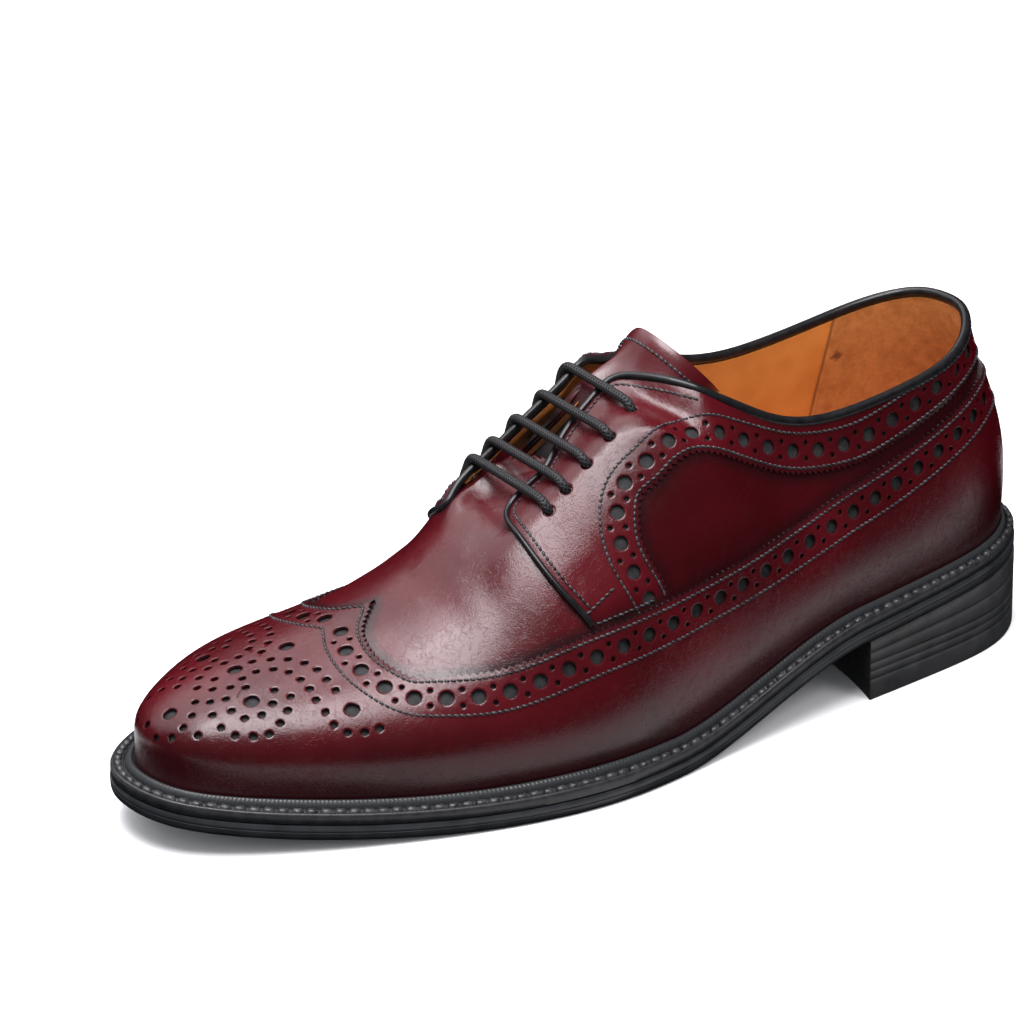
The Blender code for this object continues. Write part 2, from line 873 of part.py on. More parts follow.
def main():
    for obj in list(bpy.data.objects):
        bpy.data.objects.remove(obj)
    home = bpy.data.collections.new(NAME)
    tools = bpy.data.collections.new("cutters")
    bpy.context.scene.collection.children.link(home)
    bpy.context.scene.collection.children.link(tools)

    leather = (0.125, 0.008, 0.016)
    black = (0.016, 0.017, 0.018)
    tan = (0.42, 0.17, 0.055)

    upper = add_object("upper", build_upper(), home, material("upper_leather", leather, 0.3))
    add_object("tongue", build_tongue(), home, material("tongue_leather", leather, 0.35))
    add_object("insole", build_insole(), home, material("insole_leather", tan, 0.6))
    add_object("welt", build_welt(), home, material("welt_leather", black, 0.45))
    add_object("outsole", build_outsole(), home, material("outsole_rubber", black, 0.5))
    for name, low, high in heel_lifts():
        add_object(name, build_lift(name, low, high), home, material(name + "_rubber", black, 0.5))
    line, taper = piping_path()
    tube("topline_piping", line, PIPING, home, material("piping_leather", black, 0.4), 1, taper)
    for row, (share, half) in enumerate(EYELETS, 1):
        tube(f"lace_bar_{row}", lace_path(share, half), LACE, home,
             material(f"lace_cord_{row}", black, 0.6), 1)
    cut_eyelets(upper, tools)


if __name__ == "__main__":
    main()
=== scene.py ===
"""Looks of the full brogue derby, one left shoe. Sizes in mm in the shoe's own frame, objects in metres.

The shoe's frame has s from the heel to the toe, y from the outer to the inner side and z up. A point of the
last is given by its turn w round the outline (0 heel, 1 toe, 2 heel) and its girth g over the feather line.
"""
import math

import bmesh
import bpy
import numpy as np
from mathutils import Matrix, Vector
from mathutils.geometry import delaunay_2d_cdt
from mathutils.kdtree import KDTree


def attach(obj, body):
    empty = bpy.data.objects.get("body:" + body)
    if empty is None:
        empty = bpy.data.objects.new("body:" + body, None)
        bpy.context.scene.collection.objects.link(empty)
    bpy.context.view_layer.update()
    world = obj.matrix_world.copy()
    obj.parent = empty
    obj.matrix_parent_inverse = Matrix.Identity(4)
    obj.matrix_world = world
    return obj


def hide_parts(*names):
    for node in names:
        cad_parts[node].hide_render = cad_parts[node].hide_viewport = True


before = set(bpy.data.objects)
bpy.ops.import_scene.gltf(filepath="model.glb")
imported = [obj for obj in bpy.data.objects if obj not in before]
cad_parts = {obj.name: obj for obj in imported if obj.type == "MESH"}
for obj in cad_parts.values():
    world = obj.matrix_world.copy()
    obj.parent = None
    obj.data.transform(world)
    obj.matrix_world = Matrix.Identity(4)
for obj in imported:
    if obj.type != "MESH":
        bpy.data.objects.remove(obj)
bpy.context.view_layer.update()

LENGTH = 304.0
BALL_WIDTH = 110.0
INSTEP = 112.0
HEEL_SEAT = 19.0
HEEL_RISE = 0.088
TOE_SPRING = 10.2
SOLE_EDGE = 8.4
WELT = 3.4
WALL = 2.6
STEP = 1.0
GAP = 0.3
INSOLE = 2.5
TONGUE = 2.0
EYELET = 1.8
LACE = 1.45
PIPING = 1.55
PIPING_FACING = 0.95
MM = 0.001

# sides of the shoe: outer and inner
SIDES = (-1, 1)

BREAST = 0.25
ARCH_FRONT = 0.497
SPRING_START = 0.65
HEEL_FAN = 45.0
TOE_FAN = 250.0
FAN_SOFT = 12.0
THROAT = 0.608
FACING_END = 0.584
THROAT_PRESS = 4.5
THROAT_PRESS_RISE = 25.0
THROAT_LIFT = 2.4
THROAT_SWAY = 6.0
LACE_SKEW = 0.012
LACED_FRONT = 0.655
LACED_BACK = 0.40

# front corner of the facing: share where its rounding ends, the inner one further forward, and its handles
CORNER_END = 0.560
CORNER_INNER = 0.023
CORNER_RISE = 4.0
CORNER_RUN = 0.024

# tongue: shares where it starts, leaves the facings and ends; reach to both sides; curl, bend and climb
# of its free end; depths under the lining, under the lace and under the inner eyelets
TONGUE_START = 0.632
TONGUE_STOP = 0.50
TONGUE_END = 0.434
TONGUE_REACH = 28.0
TONGUE_INNER_REACH = 36.0
TONGUE_CURL = 16.5
TONGUE_BEND = 2.3
TONGUE_CLIMB = 0.765
TONGUE_CLEAR = 0.9
TONGUE_SINK = 3.6
TONGUE_INNER_SINK = 3.4

# lace: heights of a bar's ends along the eyelet's axis; depths and squeezed size of the hidden runs
LACE_ENDS = (-5.0, -2.5, 0.5)
LACE_RUN_END = 1.5
LACE_RUN_DEPTH = 2.2
LACE_SQUEEZE = 0.6

# sheets of the upper: dips of the vamp to the tongue, depth of the facing band under the wing and its rise,
# depth of the dark cloth; rounding of edges, lips of the holes, and distance of the free points from them
VAMP_DIP = 2.4
VAMP_TAIL = 3.4
BAND_LOW = 1.06
BAND_RISE = 0.76
BACKING_LEVEL = 1.45
EDGE_SOFT = 0.14
LIP = 0.35
LIP_FLAT = 0.65
LIP_GAP = 0.28
SPOT_CLEAR = 1.0
INSET_STEP = 1.2
FAR = 99.0

# lasting margin and gap under the sock; one leaf of the heel: share of its height, depth of its edge
MARGIN = 1.6
SOCK_GAP = 0.5
HEEL_LEAF = ((0.0, 0.3), (0.07, 0.08), (0.15, 0.0), (0.5, 0.0), (0.85, 0.0), (0.93, 0.08))

# share of length; lateral and medial half breadth as shares of the ball width
OUTLINE = (
    (0.020, 0.145, 0.155),
    (0.070, 0.250, 0.262),
    (0.160, 0.318, 0.318),
    (0.300, 0.385, 0.300),
    (0.440, 0.455, 0.300),
    (0.560, 0.525, 0.345),
    (0.670, 0.510, 0.430),
    (0.770, 0.445, 0.475),
    (0.860, 0.360, 0.427),
    (0.940, 0.258, 0.282),
    (0.985, 0.148, 0.138),
)

# share of length; welt width lateral and medial; bulge lateral and medial; height of the widest
# point over the feather line; handles of the curve at the widest point and at the top
SECTION = (
    (0.00, 5.0, 5.0, 0.6, 0.6, 17.0, 0.40, 0.40),
    (0.15, 5.0, 5.0, 1.8, 1.8, 17.0, 0.40, 0.40),
    (0.30, 6.0, 5.0, 2.5, 2.0, 17.0, 0.45, 0.40),
    (0.45, 6.5, 5.5, 2.5, 2.0, 16.0, 0.45, 0.54),
    (0.60, 7.5, 7.0, 2.0, 2.0, 15.0, 0.50, 0.50),
    (0.75, 7.5, 7.5, 1.5, 1.5, 13.0, 0.55, 0.45),
    (0.90, 7.5, 7.5, 1.0, 1.0, 11.0, 0.60, 0.50),
    (1.00, 7.5, 7.5, -0.6, -0.6, 10.0, 0.56, 0.55),
)

# share of length; distance of the top edge from the spine; its height over the floor, lateral and
# medial, as shares of the instep height; its lean from the level in degrees
TOP_EDGE = (
    (0.00, 26.4, 0.929, 0.929, 78.0),
    (0.02, 26.4, 0.919, 0.929, 78.0),
    (0.06, 26.4, 0.886, 0.915, 80.0),
    (0.12, 26.3, 0.839, 0.885, 82.0),
    (0.18, 26.2, 0.805, 0.855, 83.0),
    (0.24, 26.2, 0.780, 0.830, 82.0),
    (0.29, 26.2, 0.777, 0.820, 80.0),
    (0.34, 25.5, 0.815, 0.840, 72.0),
    (0.38, 22.8, 0.878, 0.888, 58.0),
    (0.42, 18.4, 0.942, 0.946, 40.0),
    (0.46, 8.0, 0.982, 0.982, 18.0),
    (0.50, 0.0, 0.922, 0.922, 0.0),
    (0.54, 0.0, 0.840, 0.840, 0.0),
    (0.58, 0.0, 0.755, 0.755, 0.0),
    (0.62, 0.0, 0.678, 0.678, 0.0),
    (0.66, 0.0, 0.587, 0.587, 0.0),
    (0.70, 0.0, 0.513, 0.513, 0.0),
    (0.74, 0.0, 0.460, 0.460, 0.0),
    (0.78, 0.0, 0.429, 0.429, 0.0),
    (0.82, 0.0, 0.406, 0.406, 0.0),
    (0.86, 0.0, 0.388, 0.388, 0.0),
    (0.90, 0.0, 0.375, 0.375, 0.0),
    (1.00, 0.0, 0.357, 0.357, 0.0),
)

# share of length; half opening of the facings, lateral and medial: the gap lies to the inner side
OPENING = (
    (0.400, 20.2, 19.4),
    (0.420, 16.0, 16.4),
    (0.445, 9.0, 13.6),
    (0.470, 4.6, 12.2),
    (0.495, 5.0, 11.8),
    (0.520, 6.4, 12.0),
    (0.545, 9.4, 12.4),
    (0.584, 15.4, 13.4),
)

# share of length; girth from the feather line to the wing's edge
WING = (
    (0.00, 54.5),
    (0.05, 53.8),
    (0.10, 50.8),
    (0.20, 43.6),
    (0.30, 40.4),
    (0.40, 43.4),
    (0.46, 45.4),
    (0.52, 44.2),
    (0.60, 41.2),
    (0.68, 37.0),
    (0.745, 38.6),
    (0.82, 36.5),
    (0.90, 33.0),
    (1.00, 30.0),
)

# share of length; girth from the feather line to the lower edge of the collar band
BAND = (
    (0.00, 58.0),
    (0.05, 57.2),
    (0.10, 54.2),
    (0.15, 50.4),
    (0.20, 47.2),
    (0.245, 46.0),
    (0.29, 49.0),
    (0.34, 57.5),
    (0.385, 69.5),
    (0.406, 75.2),
    (0.428, 79.8),
    (0.450, 81.0),
    (0.470, 78.8),
    (0.492, 74.3),
)

# rise from the wing's edge to the top line; share of length of the recess front, of the facing's
# front edge and of the wing's front edge at that rise
GUIDES = (
    (0.00, 0.486, 0.573, 0.745),
    (0.16, 0.500, 0.583, 0.757),
    (0.32, 0.507, 0.594, 0.764),
    (0.50, 0.493, 0.603, 0.765),
    (0.75, 0.480, 0.608, 0.757),
    (0.88, 0.474, 0.606, 0.745),
    (1.00, 0.470, 0.598, 0.731),
)
RECESS_CORNER = 0.46

# share of length and half span of each pair of eyelets, toe to ankle
EYELETS = (
    (0.578, 22.0),
    (0.557, 21.2),
    (0.532, 20.4),
    (0.5035, 19.0),
    (0.4725, 17.4),
)

# brogue work: gimped edge, rows of stitches and holes as distances into the panel
GIMP_PITCH = 2.1
GIMP_DEPTH = 1.1
STITCH_ROWS = (2.1, 12.2)
HOLE_ROW = 7.1
HOLE_PITCH = 9.2
HOLE_BIG = 4.4
HOLE_SMALL = 1.6
HOLE_PAIR = 2.3
TOE_HOLE = 2.3

# station and breadth of the toe ornament's holes; those off the middle are on both sides
TOE_BIG = ((249.5, 0.0), (266.0, 0.0), (288.5, -4.0))
TOE_BIG_PAIRS = ((268.5, -16.0), (245.0, -31.0))
TOE_SMALL = ((260.5, 0.0), (272.5, 0.0), (278.0, 0.0), (294.0, 0.0))
TOE_SMALL_PAIRS = (
    (256.0, -3.0), (252.3, -6.4), (249.2, -11.0), (247.7, -15.4), (247.0, -20.0), (246.6, -24.3),
    (257.7, -8.0), (254.7, -11.8), (253.2, -16.2), (252.6, -20.4), (252.4, -24.4), (252.0, -28.4),
    (250.9, -32.0), (248.2, -34.7), (244.2, -36.4), (240.0, -37.4), (262.0, -5.8), (266.5, -6.0),
    (267.5, -10.4), (261.2, -16.0), (258.5, -20.0), (263.8, -19.6), (261.0, -23.4), (268.0, -21.2),
    (264.4, -25.4), (268.4, -26.0), (272.5, -24.6), (277.0, -22.0), (279.6, -18.4), (272.6, -19.8),
    (274.8, -15.8), (279.8, -14.0), (284.4, -10.2), (278.2, -9.2), (274.2, -11.0), (271.0, -7.4),
    (275.2, -4.4), (281.4, -6.0), (285.8, -16.2), (288.0, -11.8), (291.4, -11.2), (294.2, -6.4),
)


def spline(xs, ys):
    """Natural cubic spline through a table, held flat past its ends."""
    xs = np.asarray(xs, float)
    ys = np.asarray(ys, float)
    n = len(xs)
    h = np.diff(xs)
    grid = np.eye(n)
    rhs = np.zeros(n)
    for i in range(1, n - 1):
        grid[i, i - 1:i + 2] = h[i - 1], 2 * (h[i - 1] + h[i]), h[i]
        rhs[i] = 6 * ((ys[i + 1] - ys[i]) / h[i] - (ys[i] - ys[i - 1]) / h[i - 1])
    m = np.linalg.solve(grid, rhs)

    def value(x):
        x = np.clip(x, xs[0], xs[-1])
        k = np.clip(np.searchsorted(xs, x) - 1, 0, n - 2)
        t = x - xs[k]
        first = (ys[k + 1] - ys[k]) / h[k] - h[k] * (2 * m[k] + m[k + 1]) / 6
        return ys[k] + t * first + t * t * m[k] / 2 + t ** 3 * (m[k + 1] - m[k]) / (6 * h[k])

    return value


def columns(table):
    return np.array(table, float).T


def turn(share):
    return np.arccos(1 - 2 * np.clip(share, 0, 1)) / np.pi


def share_of(w):
    return (1 - np.cos(np.pi * w)) / 2


def make_outline():
    share, lateral, medial = columns(OUTLINE)
    w = turn(share)
    ring = np.concatenate([[0], w, [1], 2 - w[::-1]])
    half = np.concatenate([[0], -lateral, [0], medial[::-1]]) * BALL_WIDTH
    return spline(np.concatenate([ring - 2, ring, ring + 2]), np.tile(half, 3))


HALF = make_outline()
SECTIONS = [spline(columns(SECTION)[0], c) for c in columns(SECTION)[1:]]
EDGE = [spline(columns(TOP_EDGE)[0], c) for c in columns(TOP_EDGE)[1:]]
OPEN_HALF = [spline(columns(OPENING)[0], c) for c in columns(OPENING)[1:]]
WING_LINE = spline(*columns(WING))
BAND_LINE = spline(*columns(BAND))
GUIDE = [spline(columns(GUIDES)[0], c) for c in columns(GUIDES)[1:]]
_RING = HALF(np.linspace(0, 2, 2001))
SHIFT = (_RING.min() + _RING.max()) / 2


def to_world(points):
    """Shoe points in mm to the frame in metres."""
    points = np.asarray(points, float)
    return np.stack([LENGTH / 2 - points[..., 0], points[..., 1] - SHIFT, points[..., 2]], -1) * MM


def sole_bottom(s):
    s = np.asarray(s, float)
    toe = TOE_SPRING * np.clip((s / LENGTH - SPRING_START) / (1 - SPRING_START), 0, None) ** 2
    front = ARCH_FRONT * LENGTH
    back = BREAST * LENGTH
    u = np.clip((front - s) / (front - back), 0, 1)
    arch = HEEL_SEAT * (3 * u ** 2 - 2 * u ** 3) + HEEL_RISE * (front - back) * (u ** 3 - u ** 2)
    return toe + arch + HEEL_RISE * np.clip(back - s, 0, None)


def sole_top(s):
    return sole_bottom(s) + SOLE_EDGE


def spine(s):
    low = HEEL_FAN + FAN_SOFT * np.log1p(np.exp((s - HEEL_FAN) / FAN_SOFT))
    return TOE_FAN - FAN_SOFT * np.log1p(np.exp((TOE_FAN - low) / FAN_SOFT))


def ray(w):
    """Spine station, direction and length of the ray to the outline at turn w."""
    w = np.asarray(w, float) % 2
    s = LENGTH * share_of(w)
    y = HALF(w)
    c = spine(s)
    r = np.hypot(s - c, y)
    return c, (s - c) / r, y / r, r


def welt_width(w):
    w = np.asarray(w, float) % 2
    share = share_of(w)
    return np.where(w <= 1, SECTIONS[0](share), SECTIONS[1](share))


def bezier(p0, p1, p2, p3, n):
    t = np.linspace(0, 1, n)[:, None]
    a = (1 - t) ** 3 * np.array(p0) + 3 * (1 - t) ** 2 * t * np.array(p1)
    return a + 3 * (1 - t) * t ** 2 * np.array(p2) + t ** 3 * np.array(p3)


def profile(w, n=160):
    """One section of the last in the plane of its ray: (radius, height) from feather to top."""
    w = w % 2
    lateral = w <= 1
    share = share_of(w)
    c, dx, dy, r_out = [float(v) for v in ray(w)]
    k = [float(f(share)) for f in SECTIONS]
    bulge = k[2] if lateral else k[3]
    high, lift, flat = k[4:7]
    blend = np.clip((share - 0.24) / 0.12, 0, 1)
    at = share + (c / LENGTH - share) * blend * blend * (3 - 2 * blend)
    closed = at > 0.4985
    r_end = 0.0 if closed else max(float(EDGE[0](at)), 0.0)
    z_end = float(EDGE[1 if lateral else 2](at)) * INSTEP
    lean = 0.0 if closed else np.radians(np.clip(float(EDGE[3](at)), 0, 90))
    r_base = r_out - float(welt_width(w))
    z_base = float(sole_top(c + dx * r_base)) + GAP
    r_wide = r_base + bulge
    z_wide = z_base + high
    lower = bezier((r_base, z_base), (r_base + 0.6 * bulge, z_base + 0.35 * high),
                   (r_wide, z_base + 0.6 * high), (r_wide, z_wide), n)
    fall = 0.0
    if closed:
        fall = float(EDGE[1](at + 0.001) - EDGE[1](at - 0.001)) * INSTEP / (0.002 * LENGTH) * dx
    rise = z_end - z_wide
    run = r_wide - r_end
    steep = np.clip(lean / np.radians(80), 0, 1)
    reach = (1 - steep) * flat * run + steep * 0.35 * rise
    upper = bezier((r_wide, z_wide), (r_wide, z_wide + lift * rise),
                   (r_end + reach * np.cos(lean),
                    z_end - reach * np.sin(lean) + (1 - steep) * flat * run * fall),
                   (r_end, z_end), n)
    return np.concatenate([lower, upper[1:]]), (c, dx, dy)


def girth(points):
    return np.concatenate([[0], np.cumsum(np.hypot(*np.diff(points, axis=0).T))])


def opening_half(w):
    """Half opening of the facings at turn w, 0 ahead of the throat, None behind it at the collar."""
    share = share_of(w % 2)
    if share < 0.40:
        return None
    half = float(OPEN_HALF[0 if w % 2 <= 1 else 1](share))
    if share <= FACING_END:
        return half
    if share >= THROAT:
        return 0.0
    return half * np.sqrt(1 - ((share - FACING_END) / (THROAT - FACING_END)) ** 2)


def ridge_normal(s):
    share = s / LENGTH
    fall = (EDGE[1](share + 0.002) - EDGE[1](share - 0.002)) * INSTEP / (0.004 * LENGTH)
    n = np.stack([-fall, np.zeros_like(fall), np.ones_like(fall)], -1)
    return n / np.linalg.norm(n, axis=-1)[..., None]


def smooth(x):
    x = np.clip(x, 0, 1)
    return x * x * (3 - 2 * x)


def unit(v):
    return v / np.maximum(np.linalg.norm(v, axis=-1), 1e-12)[..., None]


class Last:
    """The last as a fine table over turn and share of girth, read by interpolation."""
    COLUMNS = 1200
    ROWS = 140

    def __init__(self):
        points, spans, tops, rays = [], [], [], []
        share = np.linspace(0, 1, self.ROWS + 1)
        for w in np.linspace(0, 2, self.COLUMNS + 1):
            line, (c, dx, dy) = profile(w)
            g = girth(line)
            r = np.interp(share * g[-1], g, line[:, 0])
            z = np.interp(share * g[-1], g, line[:, 1])
            points.append(np.stack([c + dx * r, dy * r, z], 1))
            half = opening_half(w)
            top = g[-1]
            if half is not None and half > line[-1, 0]:
                top = float(np.interp(-half, -line[130:, 0], g[130:]))
            spans.append(g[-1])
            tops.append(top)
            rays.append((c, dx, dy, line[-1, 0]))
        self.points = np.array(points)
        self.spans = np.array(spans)
        self.tops = np.array(tops)
        self.rays = np.array(rays)
        self.normals = self.outward()
        self.radii = np.hypot(self.points[..., 0] - self.rays[:, :1], self.points[..., 1])
        self.points += self.normals * self.pressed()[..., None]
        self.points[..., 1] += self.swayed()
        self.normals = self.outward()

    def outward(self):
        ring = self.points[:-1]
        along = np.roll(ring, -1, 0) - np.roll(ring, 1, 0)
        n = unit(np.cross(along, np.gradient(ring, axis=1)))
        closed = self.rays[:-1, 3] == 0
        n[closed, -1] = ridge_normal(ring[closed, -1, 0])
        return np.concatenate([n, n[:1]])

    def throat(self):
        """Share of length, girth from the ridge, outer side below nought, and hold of the laces."""
        w = np.linspace(0, 2, self.COLUMNS + 1)[:, None]
        share = share_of(w)
        rho = (1 - np.linspace(0, 1, self.ROWS + 1)) * self.spans[:, None]
        hold = smooth((LACED_FRONT - share) / 0.05) * smooth((share - LACED_BACK) / 0.06)
        return share, np.where(w <= 1, -rho, rho), hold

    def pressed(self):
        """The laced facings pull the instep flatter than the last."""
        share, q, hold = self.throat()
        deep = THROAT_PRESS + THROAT_PRESS_RISE * np.clip(EYELETS[0][0] - share, 0, 0.11)
        down = deep * smooth((23 + q) / 14) * smooth((9 - q) / 10)
        up = THROAT_LIFT * smooth((q - 8) / 8) * smooth((42 - q) / 22)
        return (up - down) * hold

    def swayed(self):
        """The throat lies towards the inner side."""
        share, q, hold = self.throat()
        return THROAT_SWAY * smooth((24 - np.abs(q)) / 22) * hold

    def column(self, w):
        f = (np.asarray(w, float) % 2) / 2 * self.COLUMNS
        i = np.clip(f.astype(int), 0, self.COLUMNS - 1)
        return i, f - i

    def along(self, table, w):
        i, u = self.column(w)
        u = u.reshape(u.shape + (1,) * (table.ndim - 1))
        return table[i] * (1 - u) + table[i + 1] * u

    def span(self, w):
        return self.along(self.spans, w)

    def top(self, w):
        return self.along(self.tops, w)

    def __call__(self, w, g):
        """Points and outward directions at turns w and girths g."""
        i, u = self.column(w)
        f = np.clip(g / self.span(w), 0, 1) * self.ROWS
        j = np.clip(f.astype(int), 0, self.ROWS - 1)
        v = (f - j)[..., None]
        u = u[..., None]
        out = []
        for table in (self.points, self.normals):
            low = table[i, j] * (1 - u) + table[i + 1, j] * u
            high = table[i, j + 1] * (1 - u) + table[i + 1, j + 1] * u
            out.append(low * (1 - v) + high * v)
        return out[0], unit(out[1])

    def flat(self, w, g):
        """The upper laid flat round its opening, for laying out panels without overlaps."""
        c, dx, dy, end = self.along(self.rays, w).T
        rho = self.span(w) - g + end
        return np.stack([c + dx * rho, dy * rho], -1)

    def height(self, s, y):
        """Height of the instep over plan points, from the nearest points of the table."""
        half = self.COLUMNS // 2
        rows = slice(self.ROWS // 2, None)
        wide = [slice(int(half * turn(0.42)), half), slice(half + 1, int(self.COLUMNS - half * turn(0.42)))]
        spots = np.concatenate([self.points[cols, rows].reshape(-1, 3) for cols in wide])
        out = []
        for a, b in zip(s, y):
            gap = np.hypot(spots[:, 0] - a, spots[:, 1] - b)
            near = np.argpartition(gap, 6)[:6]
            out.append(np.average(spots[near, 2], weights=1 / (gap[near] + 0.1)))
        return np.array(out)

    def below(self, s, y):
        """Turn and girth of the points of the last's top over the plan points s, y."""
        out = []
        half = self.COLUMNS // 2
        for a, b in zip(np.atleast_1d(s), np.atleast_1d(y)):
            cols = np.arange(1, half) if b <= 0 else np.arange(half + 1, self.COLUMNS)
            c, dx, dy, _ = self.rays[cols].T
            miss = (a - c) * dy - b * dx
            miss = np.where((a - c) * dx + b * dy > 0, np.abs(miss), 1e9)
            k = cols[np.argmin(miss)]
            r = np.hypot(a - self.rays[k, 0], b)
            line = self.radii[k]
            top = int(np.argmax(line))
            f = np.interp(-r, -line[top:], np.arange(top, self.ROWS + 1))
            out.append((2 * k / self.COLUMNS, f / self.ROWS * self.spans[k]))
        return np.array(out)


last = Last()


def hops(w, g, moves):
    """Changes of turn and girth that move points of the last by vectors in its surface."""
    h = 0.002
    k = 0.4
    pw = (last(w + h, g)[0] - last(w - h, g)[0]) / (2 * h)
    pg = (last(w, g + k)[0] - last(w, g - k)[0]) / (2 * k)
    a = (pw * pw).sum(-1)
    b = (pw * pg).sum(-1)
    d = (pg * pg).sum(-1)
    u = (pw * moves).sum(-1)
    v = (pg * moves).sum(-1)
    det = np.maximum(a * d - b * b, 1e-9)
    return np.stack([(d * u - b * v) / det, (a * v - b * u) / det], -1)


def on_last(line, lift=0.0):
    p, n = last(line[:, 0], line[:, 1])
    return p + n * np.reshape(lift, (-1, 1))


def lengths(points):
    return np.concatenate([[0], np.cumsum(np.linalg.norm(np.diff(points, axis=0), axis=1))])


def smoothed(points, times):
    """The points drawn towards their neighbours a number of times."""
    points = np.array(points)
    for _ in range(times):
        points[1:-1] = points[1:-1] / 2 + (points[:-2] + points[2:]) / 4
    return points


def even(points, step):
    """The points again with even steps along their run."""
    run = lengths(points[:, :3])
    at = np.linspace(0, run[-1], max(int(run[-1] / step), 2) + 1)
    return np.stack([np.interp(at, run, c) for c in points.T], 1)


def spread(line, step, odd=False):
    """The line again with even steps along the surface, close to the step asked for."""
    run = lengths(on_last(line))
    count = max(int(round(run[-1] / step)), 2)
    if odd and count % 2:
        count += 1
    at = np.linspace(0, run[-1], count + 1)
    return np.stack([np.interp(at, run, c) for c in line.T], 1)


def side_step(line):
    """Directions across a line, into its panel."""
    p, n = last(line[:, 0], line[:, 1])
    sign = -1 if np.median(line[:, 0]) > 1 else 1
    return unit(np.cross(np.gradient(p, axis=0), n)) * sign


def inset(line, distance):
    """The line moved into its panel: to the right on the outer side, mirrored on the inner one."""
    line = line.copy()
    count = max(1, math.ceil(abs(distance) / INSET_STEP))
    for _ in range(count):
        line += hops(line[:, 0], line[:, 1], side_step(line) * distance / count)
        if len(line) > 4:
            line[1:-1] = line[1:-1] * 0.6 + (line[:-2] + line[2:]) * 0.2
    return line


def side_turn(share, side):
    w = turn(share)
    return w if side < 0 else 2 - w


def risen(share, v, side):
    """Turn and girth at a station, at the rise v from the wing's edge to the top line."""
    w = side_turn(share, side)
    low = WING_LINE(share_of(w))
    top = last.top(turn(share)) + last.span(w) - last.span(turn(share))
    return np.stack([w, low + v * (top - low)], 1)


def wing_line(side):
    """Edge of the wing from the heel to the ridge."""
    share = share_of(np.linspace(0, turn(0.742), 260))
    back = risen(share, np.zeros_like(share), side)
    v = np.linspace(0.03, 1, 70)
    return spread(np.concatenate([back, risen(GUIDE[2](v), v, side)]), 1.0)


def ridge_cut(line):
    """The part of a line that stays off the ridge, led on to it."""
    near = last.span(line[:, 0]) - line[:, 1] < 0.8
    front = share_of(line[:, 0] % 2) > 0.62
    cut = np.flatnonzero(near & front)
    return line[:cut[0]] if len(cut) else line


def band_line(side):
    """Lower edge of the facing band: up the recess front, then back over the collar band."""
    v = np.linspace(0, RECESS_CORNER, 60)
    front = risen(GUIDE[0](v), v, side)
    share = np.concatenate([np.linspace(0.476, 0.40, 40), share_of(np.linspace(turn(0.395), 0, 120))])
    w = side_turn(share, side)
    collar = smooth((0.455 - share) / 0.04)
    outer = turn(share)
    more = collar * (last.top(w) - last.top(outer)) + (1 - collar) * (last.span(w) - last.span(outer))
    back = np.stack([w, BAND_LINE(share) + more], 1)
    return smoothed(spread(np.concatenate([front, back]), 1.0), 6 if side < 0 else 45)


def facing_line(side):
    """Front edge of the facing from the wing up to the throat, its corner rounded into the top line."""
    v = np.linspace(-0.06, 0.71, 63)
    end = corner_end(side)
    front = risen(GUIDE[1](v) + (end - CORNER_END) * smooth(v / 0.5), v, side)
    w, over = (side_turn(np.array(share), side) for share in (end, end + CORNER_RUN))
    tip = np.array([w, last.top(w)])
    rise = front[-1] + (front[-1] - front[-4]) * CORNER_RISE
    corner = bezier(front[-1], rise, (over, tip[1] + last.span(over) - last.span(w)), tip, 24)
    return spread(np.concatenate([front, corner[1:]]), 1.0)


def corner_end(side):
    """Share where the facing's rounded corner meets the top line; the inner one lies further forward."""
    return CORNER_END + (CORNER_INNER if side > 0 else 0.0)


def top_line(side):
    """Top line from the throat's corner back to the heel."""
    collar = share_of(np.linspace(turn(0.398), 0, 140))
    share = np.concatenate([np.linspace(corner_end(side), 0.40, 90), collar])
    w = side_turn(share, side)
    return spread(np.stack([w, last.top(w)], 1), 1.2)


def gimped(line):
    """A line cut in teeth, its tips on the line."""
    line = spread(line, GIMP_PITCH / 2, odd=True)
    deep = line + hops(line[:, 0], line[:, 1], side_step(line) * GIMP_DEPTH)
    line[1::2] = deep[1::2]
    return line


def circle(a, b, radius, count):
    """Moves from a middle to the points of a circle in the plane of a and b."""
    t = np.linspace(0, 2 * np.pi, count, endpoint=False)[:, None]
    return radius * (np.cos(t) * a + np.sin(t) * b)


def hole_ring(spot, radius, count):
    """Round hole in the surface about a spot (turn, girth)."""
    w = np.full(count, spot[0])
    g = np.full(count, spot[1])
    n = last(w, g)[1]
    up = last(w, g + 0.4)[0] - last(w, g - 0.4)[0]
    a = unit(np.cross(up, n))
    return np.stack([w, g], 1) + hops(w, g, circle(a, np.cross(n, a), radius, count))


def toe_ring(spot, radius, count):
    """Round hole about a plan point of the cap, which may lie across the ridge."""
    p, n = last(*last.below(*spot).T)
    a = unit(np.cross(n, [0.0, 1.0, 0.0]))
    ring = p + circle(a, np.cross(n, a), radius, count)
    return last.below(ring[:, 0], ring[:, 1])


def brogue_row(line):
    """Rings of a row of holes: big ones, with a small pair between each two."""
    rings = []
    spots = spread(ridge_cut(inset(line, HOLE_ROW)), HOLE_PITCH / 2, odd=True)
    step = side_step(spots)
    for k, spot in enumerate(spots[1:-1], 1):
        if k % 2:
            rings.append((hole_ring(spot, HOLE_BIG / 2, 20), HOLE_BIG))
            continue
        for way in (-HOLE_PAIR, HOLE_PAIR):
            at = spot + hops(spot[:1], spot[1:], step[k:k + 1] * way)[0]
            rings.append((hole_ring(at, HOLE_SMALL / 2, 12), HOLE_SMALL))
    return rings


